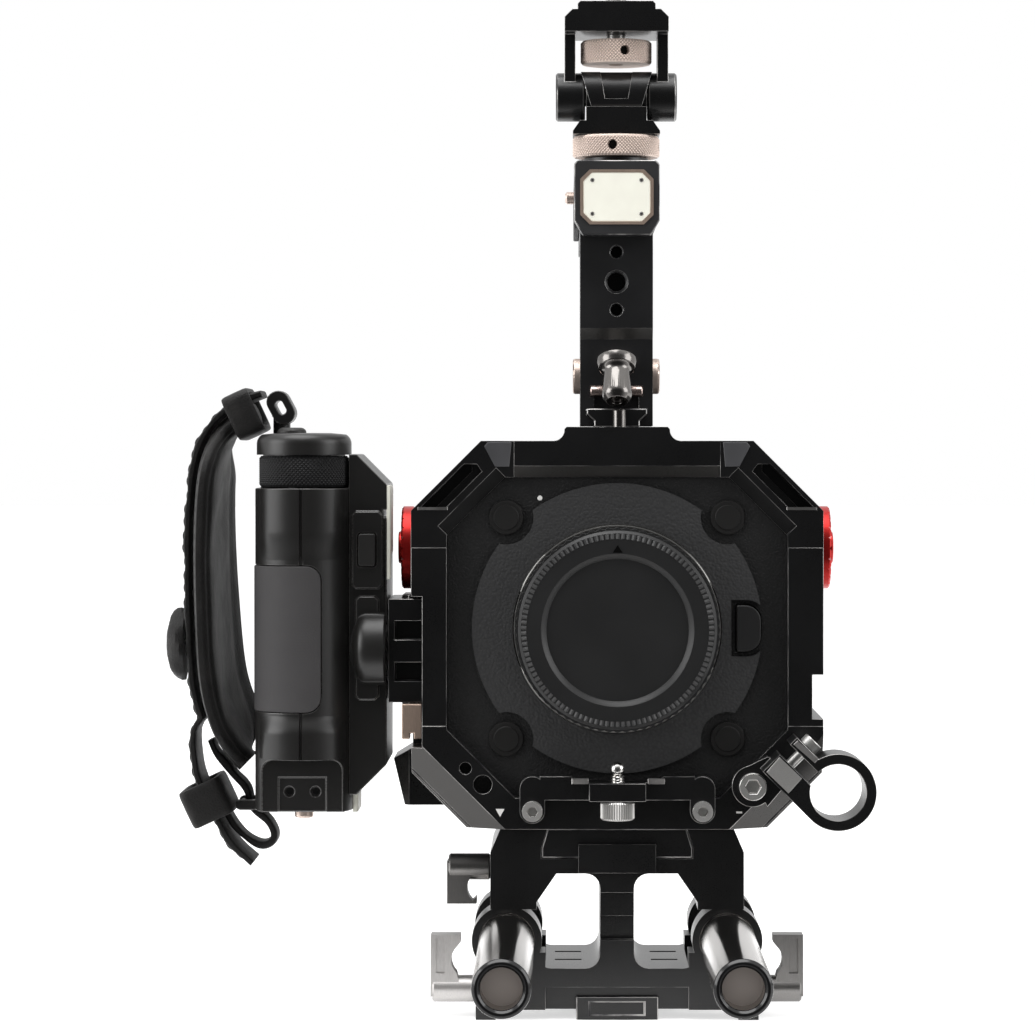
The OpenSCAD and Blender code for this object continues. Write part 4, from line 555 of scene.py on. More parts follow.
def smooth_group():
    """A geometry node group that shades faces smooth and keeps sharp edges sharp, and marks facets:
    larger faces that lean between the front and a side, which take a painted highlight."""
    group, start = mesh_group("smooth_by_angle")
    angle = start.add("GeometryNodeInputMeshEdgeAngle")
    soft = start.add("GeometryNodeSetShadeSmooth", {"domain": "FACE"},
                     {"Geometry": start, "Shade Smooth": True})
    sharp = start.add("GeometryNodeSetShadeSmooth", {"domain": "EDGE"},
                      {"Geometry": soft, "Selection": angle > SHARP_ANGLE, "Shade Smooth": False})
    normal = start.add("GeometryNodeInputNormal")
    lean = abs(start.add("ShaderNodeSeparateXYZ", None, {0: normal}, 1))
    area = start.add("GeometryNodeInputMeshFaceArea")
    facet = (lean > FACET_LEAN[0]) * (lean < FACET_LEAN[1]) * (area > FACET_AREA * MM * MM)
    marked = start.add("GeometryNodeStoreNamedAttribute", {"data_type": "FLOAT", "domain": "FACE"},
                       {"Geometry": sharp, "Name": "facet", "Value": facet})
    start.add("NodeGroupOutput", None, {0: marked})
    return group


def dress_node(name, finish, edge, soft, group, mill=None):
    """Gives a CAD node its finish and a live bevel whose faces take the edge finish."""
    sizes = bpy.context.scene.rig_sizes
    node = frame["nodes"][name]
    node.data.materials.clear()
    node.data.materials.append(FINISH[finish])
    node.data.materials.append(FINISH[edge])
    weld = node.modifiers.new("weld", "WELD")
    weld.merge_threshold = WELD_GAP * MM
    if mill:
        milled_and_lit_facets = node.modifiers.new("milled_and_lit_facets", "NODES")
        milled_and_lit_facets.node_group = mill
    flat = node.modifiers.new("flat", "DECIMATE")
    flat.decimate_type = "DISSOLVE"
    flat.angle_limit = FLAT_ANGLE
    smooth = node.modifiers.new("smooth", "NODES")
    smooth.node_group = group
    bevel = node.modifiers.new("bevel", "BEVEL")
    bevel.width = sizes.soft_edge if soft else sizes.edge
    bevel.segments = 2
    bevel.limit_method = "ANGLE"
    bevel.angle_limit = BEVEL_ANGLE
    bevel.material = 1
    bevel.harden_normals = True
    bevel.use_clamp_overlap = not soft


def facet_group(finish):
    """A geometry node group that mills a slanting facet on both lower corners of the cage's front: a
    block is laid on the plane of each facet, outside it, and taken away.

    The facet runs along the cut corner and leans from the front to the depth over its width."""
    group, result = mesh_group("corner_facets")
    front, foot, out = low("cage_bottom")[1], low("cage_bottom")[2], high("cage_bottom")[0]
    corner_cut, facet_w, facet_d = 16.0, 6.8, 5.0
    block = Vector((44.0, 18.0, 8.0))
    for side in (-1, 1):
        along = Vector((1, 0, side)).normalized()
        down = Vector((side, 0, -1)).normalized() * facet_w + Vector((0, facet_d, 0))
        lean = along.cross(down).normalized()
        if lean.y > 0:
            lean.negate()
        edge = Vector((side * (out - corner_cut / 2), front + facet_d, foot + corner_cut / 2))
        centre = edge - down / 2 + lean * block.z / 2
        turn = Matrix((along, lean.cross(along), lean)).transposed().to_euler()
        box = result.add("GeometryNodeMeshCube", None, {"Size": block * MM})
        placed = result.add("GeometryNodeTransform", None,
                            {"Geometry": box, "Translation": centre * MM, "Rotation": turn})
        coated = result.add("GeometryNodeSetMaterial", None,
                            {"Geometry": placed, "Material": finish})
        result = result.add("GeometryNodeMeshBoolean",
                            {"operation": "DIFFERENCE", "solver": "EXACT"},
                            {"Mesh 1": result, "Mesh 2": coated})
    result.add("NodeGroupOutput", None, {0: result})
    return group


class RIG_OT_dress(bpy.types.Operator):
    """Finish the CAD pieces and bevel their edges"""

    bl_idname = "rig.dress"
    bl_label = "Dress CAD pieces"

    def execute(self, context):
        colours = context.scene.rig_colours
        FINISH.update(metals(colours))
        FINISH.update(skins(colours))
        group = smooth_group()
        mill = {"cage_bottom": facet_group(FINISH["black_aluminium"])}
        for finish, edge, soft, names in NODE_FINISHES:
            for name in names:
                dress_node(name, finish, edge, soft, group, mill.get(name))
        return {"FINISHED"}


# Stage

# The camera of the photograph: its place, focal length and shift
CAMERA_PLACE = (-14.7, -1022.0, 155.0)
CAMERA_SENSOR, CAMERA_LENS = 36.0, 127.65
CAMERA_SHIFT = (-0.0440, -0.0652)
FLOOR_REACH, FLOOR_FRONT, FLOOR_Z = 9000.0, -110.0, -0.05
FLOOR_GLOW = 0.6
# Strength of the even light, of the white sweep in reflections, and of its top and its dim front
EVEN_LIGHT, SWEEP, SWEEP_TOP, SWEEP_FRONT = 0.58, 0.85, 0.25, 0.05
# Lamps: place, aim, size and power
SOFTBOXES = {
    "softbox_top": ((-200, -250, 1500), (0, 0, 150), 1100, 16),
    "softbox_left": ((-1300, -500, 500), (0, 0, 120), 900, 10),
    "softbox_right": ((1300, -450, 600), (0, 0, 120), 900, 8),
}


def plain_world():
    """White to the camera. Reflections see white all round but a dim front, as in a dark room with
    a white sweep, and diffuse light comes evenly from all sides."""
    world = bpy.data.worlds.new("studio")
    bpy.context.scene.world = world
    world.use_nodes = True
    tree = world.node_tree
    tree.nodes.clear()
    root = Wire(tree, None)
    way = root.add("ShaderNodeTexCoord", out=0)
    back = root.add("ShaderNodeSeparateXYZ", None, {0: way}, 1)
    up = root.add("ShaderNodeSeparateXYZ", None, {0: way}, 2)
    sweep = back.step(-0.9, -0.25) * SWEEP + up.step(0.25, 0.9) * SWEEP_TOP + SWEEP_FRONT
    camera, glossy, through = seen_rays(root)
    plain = (1 - glossy) * (1 - through) * EVEN_LIGHT
    level = camera + (1 - camera) * (glossy * sweep + through + plain)
    light = root.add("ShaderNodeBackground", None, {"Color": tone(WHITE), "Strength": level})
    root.add("ShaderNodeOutputWorld", None, {"Surface": light})


def seen_rays(root):
    """1 for rays of the camera, of a reflection and through glass, which see the background white."""
    kinds = ("Is Camera Ray", "Is Glossy Ray", "Is Transmission Ray")
    return [root.add("ShaderNodeLightPath", out=kind) for kind in kinds]


def floor_finish():
    """A pale floor that is white to the rays that see it, less the object's soft shadow."""
    f = Finish("pale_floor")
    cloud = f.noise(120.0, 2.0)
    base = f.blend(cloud, tone(WHITE, 0.86), tone(WHITE, 0.88))
    camera, glossy, through = seen_rays(f.root)
    seen = (camera + glossy + through).at_most(1.0)
    glow = f.blend(seen, tone(WHITE, 0.0), tone(WHITE))
    return f.close(base, 0.7, 0.0, None, Specular_IOR_Level=0.1, Emission_Color=glow,
                   Emission_Strength=FLOOR_GLOW)


def softbox(name, place, aim, size, power):
    """A square area lamp at a place, in millimetres, turned towards an aim."""
    lamp = bpy.data.lights.new(name, "AREA")
    lamp.size = size * MM
    lamp.energy = power
    box = bpy.data.objects.new(name, lamp)
    bpy.context.scene.collection.objects.link(box)
    place, aim = Vector(place) * MM, Vector(aim) * MM
    box.location = place
    box.rotation_euler = (aim - place).to_track_quat("-Z", "Y").to_euler()


class RIG_OT_stage(bpy.types.Operator):
    """Make the camera at the photographed angle, the pale floor and the studio light"""

    bl_idname = "rig.stage"
    bl_label = "Stage"

    def execute(self, context):
        scene = context.scene
        camera = bpy.data.cameras.new("view")
        camera.sensor_width = CAMERA_SENSOR
        camera.lens = CAMERA_LENS
        camera.shift_x, camera.shift_y = CAMERA_SHIFT
        camera.clip_start = 0.05
        holder = bpy.data.objects.new("view", camera)
        holder.location = Vector(CAMERA_PLACE) * MM
        holder.rotation_euler = (math.radians(90), 0, 0)
        scene.collection.objects.link(holder)
        scene.camera = holder
        across = np.array([[-FLOOR_REACH], [FLOOR_REACH]])
        corners = laid(across, np.array([FLOOR_FRONT, FLOOR_REACH]), FLOOR_Z, "Z")
        floor = lay_mesh("floor", corners.reshape(-1, 3), np.array([[0, 2, 3, 1]]), {})
        floor.data.materials.append(floor_finish())
        for name, lamp in SOFTBOXES.items():
            softbox(name, *lamp)
        plain_world()
        scene.view_settings.view_transform = "Standard"
        return {"FINISHED"}


# Surfaces

MERGE_GAP = 0.0005


def lay_surfaces(name, grids, finish, body, node=None, values=None):
    """One piece from grids of points in millimetres, each with its wrapped sides, riding a body.

    Rows run along u and columns along v. Every cell of a grid is a face of four corners, points that
    fall together, as at a pole, are merged, and faces are turned outwards."""
    points, faces, start = [], [], 0
    for grid, wrap_u, wrap_v in grids:
        m, n = grid.shape[:2]
        u = np.arange(m if wrap_u else m - 1)[:, None]
        v = np.arange(n if wrap_v else n - 1)[None, :]
        corner = [(u + a) % m * n + (v + b) % n for a, b in ((0, 0), (1, 0), (1, 1), (0, 1))]
        faces.append(np.stack(corner, -1).reshape(-1, 4) + start)
        points.append(grid.reshape(-1, 3))
        start += m * n
    piece = lay_mesh(name, np.concatenate(points), np.concatenate(faces), values or {})
    piece.data.materials.append(FINISH[finish])
    smooth = piece.modifiers.new("smooth", "NODES")
    smooth.node_group = bpy.data.node_groups["smooth_by_angle"]
    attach(piece, body)
    if node:
        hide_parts(node)
    return piece


def lay_mesh(name, points, faces, values):
    """A new object from points in millimetres, faces of four corners and values on the points."""
    mesh = bpy.data.meshes.new(name)
    mesh.vertices.add(len(points))
    mesh.vertices.foreach_set("co", (points * MM).astype(np.float32).ravel())
    mesh.loops.add(faces.size)
    mesh.loops.foreach_set("vertex_index", faces.astype(np.int32).ravel())
    mesh.polygons.add(len(faces))
    mesh.polygons.foreach_set("loop_start", np.arange(0, faces.size, 4, dtype=np.int32))
    mesh.update(calc_edges=True)
    for key, value in values.items():
        layer = mesh.attributes.new(key, "FLOAT", "POINT")
        layer.data.foreach_set("value", value.astype(np.float32).ravel())
    work = bmesh.new()
    work.from_mesh(mesh)
    bmesh.ops.remove_doubles(work, verts=work.verts, dist=MERGE_GAP * MM)
    bmesh.ops.recalc_face_normals(work, faces=work.faces)
    work.to_mesh(mesh)
    work.free()
    mesh.polygons.foreach_set("use_smooth", np.ones(len(mesh.polygons), dtype=bool))
    piece = bpy.data.objects.new(name, mesh)
    bpy.context.scene.collection.objects.link(piece)
    return piece


def capped(grid):
    """A grid with both end rows drawn together to their middles, which closes a tube's ends."""
    ends = [np.broadcast_to(grid[i].mean(0), grid[i].shape)[None] for i in (0, -1)]
    return np.concatenate([ends[0], grid, ends[1]])


def ease(x):
    """A smooth step: 0 below 0, 1 above 1, and three times the square less twice the cube between."""
    x = np.clip(x, 0, 1)
    return x * x * (3 - 2 * x)


def squared(x, power):
    """A wave between -1 and 1 pressed towards a square one: its size raised to a power under 1, with
    its sign kept. A sine and a cosine pressed this way draw a rectangle with round corners."""
    return np.sign(x) * np.abs(x) ** power


def circle(count):
    """Angles of evenly spaced points round a circle."""
    return np.linspace(0, TURN, count, endpoint=False)


def laid(across, up, depth, axis):
    """Points from two coordinates in a plane and the depth along the axis at right angles to it."""
    across, up, depth = np.broadcast_arrays(across, up, depth)
    order = {"X": (depth, across, up), "Y": (across, depth, up), "Z": (across, up, depth)}
    return np.stack(order[axis], -1)


def slab(outline, front, back, axis="Y", bevel=0.0):
    """A closed plate: its outline carried from the back to the front, with a bevelled front edge."""
    middle = outline.mean(0)
    reach = np.linalg.norm(outline - middle, axis=1).min()
    inner = middle + (outline - middle) * (1 - bevel / reach)
    way = math.copysign(bevel, back - front)
    rows = [laid(*edge.T, depth, axis) for edge, depth in
            ((outline, back), (outline, front + way), (inner, front))]
    return capped(np.stack(rows)), False, True


def disc(centre, radius, front, back, axis="Y", bevel=0.0, count=32):
    """A closed round plate, as a slab with a circle for its outline."""
    angle = circle(count)
    outline = np.array(centre) + radius * np.stack([np.cos(angle), np.sin(angle)], -1)
    return slab(outline, front, back, axis, bevel)


def proud(face, rise, sink, way=-1):
    """Depths of a plate's front and back, where it stands proud of a face and is sunk in it."""
    return face + way * rise, face - way * sink


# Knurled wheels

INCH = 25.4
POINTS_PER_GROOVE, POINTS_PER_THREAD = 8, 10
HOLE_R, HOLE_D = 1.3, 2.5
# How deep in a groove a point counts in a hole and on the flat faces of a wheel
IN_HOLE, ON_FACE = 1.6, 0.25
MONITOR_WHEEL_T, JACK_WHEEL_T = 6.4, 5.0


def ridge(x):
    """A triangle wave: 1 at whole numbers and 0 halfway between them."""
    return 2 * np.abs(x - np.floor(x) - 0.5)


def turned(radius, height, centre, count):
    """Points of a turned surface about an upright axis: each row has a height and a radius, which is
    the same all round or has a value for each angle."""
    angle = circle(count)
    radius = np.array([np.broadcast_to(r, count) for r in radius])
    return laid(centre[0] + radius * np.cos(angle), centre[1] + radius * np.sin(angle),
                np.array(height)[:, None], "Z")


def wheel_grid(node, thick, bore, bevel, pitch, depth, cross, holes, hole_turn):
    """A wheel with a knurled rim, in the place of a CAD node, and how deep in a groove each point is.

    Two families of V grooves run round the rim as a left and a right helix. A point lies as deep as
    the deeper one, and round holes, the first turned from the front, drop the rim further."""
    foot, radius = low(node)[2], size_of(node)[0] / 2
    top = foot + thick
    grooves = round(TURN * radius / pitch)
    count = POINTS_PER_GROOVE * grooves
    angle = circle(count)
    tall = thick - 2 * bevel
    rows = np.linspace(foot + bevel, top - bevel, 1 + round(tall / pitch * POINTS_PER_GROOVE))
    lift = cross * rows[:, None] / pitch
    around = angle * grooves / TURN
    groove = np.maximum(ridge(around + lift), ridge(around - lift))
    rim = radius - depth * groove
    if holes:
        share = TURN / holes
        off = (angle - (hole_turn - TURN / 4) + share / 2) % share - share / 2
        inside = np.hypot(off * radius, rows[:, None] - (foot + top) / 2) < HOLE_R
        rim = np.where(inside, radius - HOLE_D, rim)
        groove = np.where(inside, IN_HOLE, groove)
    radii = [bore, radius - bevel, *rim, radius - bevel, bore]
    grid = turned(radii, [foot, foot, *rows, top, top], middle_of(node), count)
    face = np.full((2, count), ON_FACE)
    return (grid, True, True), np.concatenate([face, groove, face])


def lay_wheel(node, finish, thick, bore, bevel, coarse=1.0, deep=1.0, cross=1.0, holes=0,
              hole_turn=0.0):
    """A knurled wheel that stands for a CAD node. The rig's knurl can be made coarser and deeper."""
    sizes = bpy.context.scene.rig_sizes
    grid, groove = wheel_grid(node, thick, bore, bevel, sizes.knurl_pitch / MM * coarse,
                              sizes.knurl_depth / MM * deep, cross, holes, hole_turn)
    lay_surfaces(node + "_knurl", [grid], finish, node, node, {"groove": groove})


def screw_grid(node, foot, seat, neck, pitch, radius, bevel=0.8, count=40, ball=False):
    """A screw above a wheel: a plain neck up to its seat, then a V thread wound as a helix, up to the
    top of the node, with a bevelled tip or a ball of the thread's radius."""
    top = high(node)[2]
    height = np.linspace(foot, top, 1 + round((top - foot) / pitch * POINTS_PER_THREAD))[:, None]
    thread = radius - 0.5 * pitch * ridge(height / pitch - circle(count) / TURN)
    radii = np.where(height < seat, neck, np.minimum(thread, radius + top - bevel - height))
    if ball:
        over = height - (top - radius)
        pole = 0.2
        round_tip = np.sqrt(np.clip(radius ** 2 - over ** 2, pole ** 2, None))
        radii = np.where(over > -0.85 * radius, round_tip, radii)
    return capped(turned(radii, height[:, 0], middle_of(node), count)), False, True


class RIG_OT_wheels(bpy.types.Operator):
    """Make the knurled wheels and their screws"""

    bl_idname = "rig.wheels"
    bl_label = "Knurled wheels"

    def execute(self, context):
        holes = context.scene.rig_sizes.holes
        lay_wheel("lock_ring", "rose_knurl", size_of("lock_ring")[2], bore=3.15,
                  bevel=0.6, holes=holes, hole_turn=-0.1)
        lay_wheel("monitor_wheel", "rose_knurl", MONITOR_WHEEL_T, bore=2.0, bevel=0.6,
                  holes=holes, hole_turn=0.245)
        lay_wheel("focus_wheel", "black_knurl", size_of("focus_wheel")[2], bore=6.05,
                  bevel=0.7, coarse=1.2, deep=1.2)
        lay_wheel("jack_wheel", "steel_knurl", JACK_WHEEL_T, bore=1.2, bevel=0.5,
                  coarse=0.7, deep=0.8, cross=0.0)
        sunk, clear = 1.0, 0.3
        foot, seat = low("monitor_wheel")[2] + sunk, high("tilt_yoke")[2] + clear
        quarter = screw_grid("monitor_wheel", foot, seat, neck=2.675, pitch=INCH / 20,
                             radius=INCH / 8)
        lay_surfaces("monitor_screw", [quarter], "screw_steel", "monitor_wheel")
        foot, seat = low("jack_wheel")[2] + sunk, low("jack_wheel")[2] + JACK_WHEEL_T
        jack = screw_grid("jack_wheel", foot, seat, neck=1.6, pitch=0.7, radius=2.0, bevel=1.0,
                          count=28, ball=True)
        lay_surfaces("jack_screw", [jack], "chrome", "jack_wheel")
        return {"FINISHED"}


# Hand strap

GRIP_R, STRAP_BACK = 13.5, 16.0
# The lines of the strap count from the grip's side, from the lens axis and from the strap's middle
STRAP_X = middle_of("focus_wheel")[0] - GRIP_R
STRAP_Y = middle_of("focus_wheel")[1] + STRAP_BACK
PAD_W, PAD_T = 44.0, 6.0
# Width of the pad's ends and thickness of its edges, as shares of its whole width and thickness
PAD_END, PAD_EDGE = 0.5, 0.45
# Place and width of the pad's seams, as shares of half its width, their depth, and how deep the
# stitches lie in them
SEAM_AT, SEAM_W, SEAM_D, STITCH_D = 0.8, 0.05, 0.45, 0.4
# How far the rear of the pad bends towards the hand at its top, and how much more at its foot
WRAP_TOP, WRAP_MORE = 2.0, 9.0
BAND_W, BAND_T, LOOP_W = 20.0, 2.0, 10.0
BAND_SEAM = 8.2
CLEAR = 0.3
STRAP_LINE = np.array([[2.6, 60.2], [-5, 56.9], [-10.4, 52], [-13.8, 43], [-15.2, 28], [-15.2, 7],
                       [-14, -15], [-10.8, -28], [-6.2, -36], [-3.4, -39]])
TAIL_LINE = np.array([[-17, -30], [-16.7, -37.5], [-15.2, -43.7], [-10.15, -54.6], [-6, -61.3],
                      [-0.8, -66]])
LOOP_LINE = np.array([[-12, -44.4], [-8, -53], [-4, -58.5], [0.5, -61], [3.2, -59.8], [2, -56.4],
                      [-2.4, -52.4], [-4.4, -47], [-8.2, -42.6], [-12.4, -37.4], [-14.4, -33]])


def spline(points, steps):
    """A Catmull-Rom curve through points, with a number of steps for each span."""
    p = np.vstack([points[:1], points, points[-1:]])
    a, b, c, d = (p[i:len(p) - 3 + i, None] for i in range(4))
    t = np.linspace(0, 1, steps, endpoint=False)[None, :, None]
    curve = 0.5 * (2 * b + (c - a) * t + (2 * a - 5 * b + 4 * c - d) * t ** 2
                   + (3 * b - a - 3 * c + d) * t ** 3)
    return np.vstack([curve.reshape(-1, 2), points[-1:]])


def outward(line):
    """Unit normals of a line in the XZ plane, on the side away from the hand."""
    way = np.gradient(line, axis=0)
    way /= np.linalg.norm(way, axis=1)[:, None]
    return np.stack([way[:, 1], -way[:, 0]], -1)


def swept(line, width, thick):
    """Points of a strap: its section, as a width along Y and a thickness along the normal, carried
    along a line in the XZ plane."""
    c = line[:, None] + outward(line)[:, None] * thick[..., None]
    return laid(STRAP_X + c[..., 0], LENS_Z + c[..., 1], STRAP_Y + width, "Y")


def fullness(t):
    """How wide the pad is along its length, from its narrow ends to its whole middle."""
    start, end, rise = 0.12, 0.97, 0.2
    return PAD_END + (1 - PAD_END) * ease(np.minimum(t - start, end - t) / rise)


def pad_half(s):
    """Half the pad's thickness at a place across it, which falls to its edges with the cube."""
    return PAD_T / 2 * (1 - (1 - PAD_EDGE) * np.abs(s) ** 3)


def pad_lift(s, t):
    """How far the pad is bent towards the hand, at a place from -1 at its front to 1 at its rear, and
    from 0 at its top to 1 at its foot, where it bends more."""
    whole = (fullness(t) - PAD_END) / (1 - PAD_END)
    return -(WRAP_TOP + WRAP_MORE * t) * s * s * (1 + s) / 2 * whole


def pad_line():
    """The pad's line, which starts half a span along the strap's line, inside the upper sleeve."""
    steps = 10
    return spline(STRAP_LINE, steps)[steps // 2:]


def pad_grid(count=64):
    """The pad: a crowned section with round edges, a sewn border and soft creases on its inner side."""
    line = pad_line()
    t = np.linspace(0, 1, len(line))[:, None]
    angle = circle(count)[None]
    s = squared(np.cos(angle), 0.6)
    rise = squared(np.sin(angle), 0.35)
    seam = SEAM_D * np.exp(-((np.abs(s) - SEAM_AT) / SEAM_W) ** 2)
    crease = 0.35 * np.sin(34 * t + 3 * s) * np.sin(11 * t) * (rise < 0) * (1 - s ** 2)
    thick = pad_lift(s, t) + rise * (pad_half(s) - seam + crease)
    return capped(swept(line, s * fullness(t) * PAD_W / 2, thick)), False, True


def arc_length(line):
    """Distance of each point of a line from its start."""
    return np.concatenate([[0], np.cumsum(np.linalg.norm(np.diff(line, axis=0), axis=1))])


def ripple(line):
    """Soft wrinkles of a strap's outer side: a short and a long sine wave of its length, multiplied."""
    depth, short, long = 0.4, 2.1, 5.3
    span = arc_length(line)
    return depth * np.sin(span / short) * np.sin(span / long + 1)


def flat_grid(line, width, thick, count=32):
    """A flat strap with round edges, carried along a line on its outer side, which is wrinkled."""
    angle = circle(count)
    across = squared(np.cos(angle), 0.3) * width / 2
    half = squared(np.sin(angle), 0.45)
    up = (1 + half) * thick / 2 + ripple(line)[:, None] * np.clip(half, 0, 1)
    return capped(swept(line, np.broadcast_to(across, up.shape), up)), False, True


def band_line():
    """The band's line: the pad's line moved out to lie on the pad, then its own tail."""
    steps, spans_left = 4, 2
    line = spline(STRAP_LINE, steps)
    on_pad = line + outward(line) * (PAD_T / 2 + CLEAR)
    return spline(np.vstack([on_pad[:-steps * spans_left - 1], TAIL_LINE]), 3)


def sleeve_grid(centre, turn, reach, inner_t, inner_w, wall=2.0, count=64):
    """A leather sleeve: a section with round edges carried round a flat oval, turned about Y."""
    edge = circle(16)[:, None]
    around = circle(count)[None]
    out = wall / 2 * (1 + squared(np.cos(edge), 0.5))
    along = reach / 2 * squared(np.sin(edge), 0.4)
    across = squared(np.cos(around), 0.28) * (inner_t / 2 + out)
    wide = squared(np.sin(around), 0.28) * (inner_w / 2 + out)
    x = centre[0] + across * math.cos(turn) + along * math.sin(turn)
    z = centre[1] - across * math.sin(turn) + along * math.cos(turn)
    return laid(STRAP_X + x, LENS_Z + z, STRAP_Y + wide, "Y"), True, True


def stitch_grids(line, width, thick, reach, gap):
    """A row of stitches along a strap: short round threads that rise as half a sine wave, and are
    sunk at both ends."""
    margin, thread_r, sunk, rows = 2.0, 0.34, 0.2, 5
    span = arc_length(line)
    turns = circle(6)[None]
    bulge = 0.28 * np.sin(np.linspace(0.12, 0.88, rows) * TURN / 2)[:, None]
    grids = []
    for at in np.arange(margin, span[-1] - margin - reach, reach + gap):
        place = np.linspace(at, at + reach, rows)
        route = np.stack([np.interp(place, span, line[:, i]) for i in (0, 1)], -1)
        side = np.interp(place, span, width)[:, None] + thread_r * np.cos(turns)
        rise = np.interp(place, span, thick)[:, None] - sunk + bulge * (0.6 + np.sin(turns))
        grids.append((capped(swept(route, side, rise)), False, True))
    return grids


def button_grid(node, count=72):
    """The strap's button, turned about X: a domed leather disc with a sewn groove and soft folds."""
    centre, (thick, wide, _) = middle_of(node)[1:], size_of(node)
    r = np.array([0.4, 0.98, 1.0, 0.97, 0.9, 0.78, 0.72, 0.66, 0.4, 0.15])[:, None] * wide / 2
    out = np.array([0.0, 0.0, 0.18, 0.42, 0.62, 0.78, 0.74, 0.84, 0.97, 1.0])[:, None] * thick
    angle = circle(count)[None]
    fold = 1 - 0.025 * (1 + np.sin(5 * angle + out)) - 0.02 * (1 + np.sin(9 * angle))
    return capped(laid(centre[0] + r * fold * np.cos(angle), centre[1] + r * fold * np.sin(angle),
                       high(node)[0] - out, "X")), False, True


class RIG_OT_strap(bpy.types.Operator):
    """Make the padded hand strap with its band, loop, sleeves, button and stitches"""

    bl_idname = "rig.strap"
    bl_label = "Hand strap"

    def execute(self, context):
        leather, grip = "strap_leather", "side_grip"
        pad = lay_surfaces("strap_pad_soft", [pad_grid()], leather, grip, "strap_pad")
        bands = [flat_grid(band_line(), BAND_W, BAND_T),
                 flat_grid(spline(LOOP_LINE, 6), LOOP_W, BAND_T)]
        lay_surfaces("strap_band_soft", bands, leather, grip, "strap_band")
        room = 1.2
        sleeves = [sleeve_grid((-3.9, 58.5), math.radians(65), reach=8.0,
                               inner_t=PAD_T + BAND_T + room, inner_w=PAD_W * PAD_END + room),
                   sleeve_grid((-14.2, -49.7), -math.radians(25), reach=11.0, inner_t=8.9,
                               inner_w=BAND_W + room / 2)]
        lay_surfaces("strap_sleeves", sleeves, leather, grip, "strap_keepers")
        lay_surfaces("strap_button_soft", [button_grid("strap_button")], leather, grip,
                     "strap_button")
        lay_surfaces("strap_stitches", self.stitches(context.scene.rig_sizes), "thread", grip)
        return {"FINISHED"}

    def stitches(self, sizes):
        """Rows of stitches along both edges of the band and in both seams of the pad."""
        reach, gap = sizes.stitch / MM, sizes.stitch_gap / MM
        band, pad = band_line(), pad_line()
        t = np.linspace(0, 1, len(pad))
        rows = []
        for side in (-1, 1):
            edge = np.full(len(band), side * BAND_SEAM)
            rows += stitch_grids(band, edge, BAND_T + ripple(band), reach, gap)
            s = side * SEAM_AT
            seam = pad_lift(s, t) + pad_half(s) - STITCH_D
            rows += stitch_grids(pad, s * fullness(t) * PAD_W / 2, seam, reach, gap)
        return rows


# Small trim


def box_outline(x0, x1, z0, z1):
    """The four corners of a rectangle."""
    return np.array([[x0, z0], [x1, z0], [x1, z1], [x0, z1]])


def cut_outline(start, end, cut):
    """The eight corners of a rectangle with cut corners."""
    (x0, z0), (x1, z1) = start, end
    return np.array([[x0 + cut, z0], [x1 - cut, z0], [x1, z0 + cut], [x1, z1 - cut], [x1 - cut, z1],
                     [x0 + cut, z1], [x0, z1 - cut], [x0, z0 + cut]])


def rim_grid(outline, width, front, back):
    """A closed frame round an outline: its inner edge is the outline, its outer edge is moved out."""
    outer = outline + np.sign(outline - outline.mean(0)) * width
    rows = [laid(*edge.T, depth, "Y") for edge, depth in
            ((outline, back), (outline, front), (outer, front), (outer, back))]
    return np.stack(rows), True, True


def swell_grid(plain_z, full_z, count=160):
    """A fuller zone of the grip beside its panel, from a plain end to a full one: a shell that rises
    from the grip's round front by a smooth step along Z, fades out to both sides by another, and
    keeps the seam down the middle."""
    swell, wall, seam_w, seam_d = 1.5, 1.0, 0.7, 0.7
    centre = middle_of("focus_wheel")
    t = np.linspace(0, 1, 40)[:, None]
    angle = np.linspace(TURN / 2, TURN, count)[None]
    front = ease((-np.sin(angle) - 0.42) / 0.4)
    seam = seam_d * (np.abs(np.cos(angle)) * GRIP_R < seam_w / 2)
    outer = GRIP_R - 0.08 + swell * ease(t / 0.45) * front - seam
    radius = np.concatenate([outer, np.full_like(outer, GRIP_R - wall)], 1)
    angle = np.concatenate([angle, angle[:, ::-1]], 1)
    return capped(laid(centre[0] + radius * np.cos(angle), centre[1] + radius * np.sin(angle),
                       plain_z + (full_z - plain_z) * t, "Z")), False, True


def reed_grid(r0, r1, front, back, teeth=110, dip=0.36):
    """A reeded ring about the lens axis: a bevelled ring whose front rises and falls round it as a
    triangle wave."""
    bevel, bevel_d = 0.7, 1.0
    angle = circle(4 * teeth)
    wave = front + dip * ridge(angle * teeth / TURN)
    flat = np.full_like(angle, back)
    rows = [(r0, flat), (r0, wave), (r1 - bevel, wave), (r1, wave + bevel_d), (r1, flat)]
    grid = [laid(r * np.cos(angle), LENS_Z + r * np.sin(angle), y, "Y") for r, y in rows]
    return np.stack(grid), True, True


def knuckle_grid(centre, radius, left, right, back, dome=2.8):
    """The swivel's knuckle, turned about X: a dome at its left end, a barrel and a bevelled right end,
    all cut flat at the back. The dome's height falls with the square of the radius."""
    bevel = 0.5
    share = np.linspace(0.04, 0.9, 12)
    barrel = [left + dome * 1.05, left + dome * 1.45, (left + right) / 2, right - bevel, right, right]
    x = np.concatenate([left + dome * share ** 2, barrel])[:, None]
    r = np.concatenate([share, [0.96, 1.0, 1.0, 1.0, 0.96, 0.3]])[:, None] * radius
    angle = circle(72)[None]
    y = np.minimum(centre[0] + r * np.cos(angle), back)
    return capped(laid(y, centre[1] + r * np.sin(angle), x, "X")), False, True


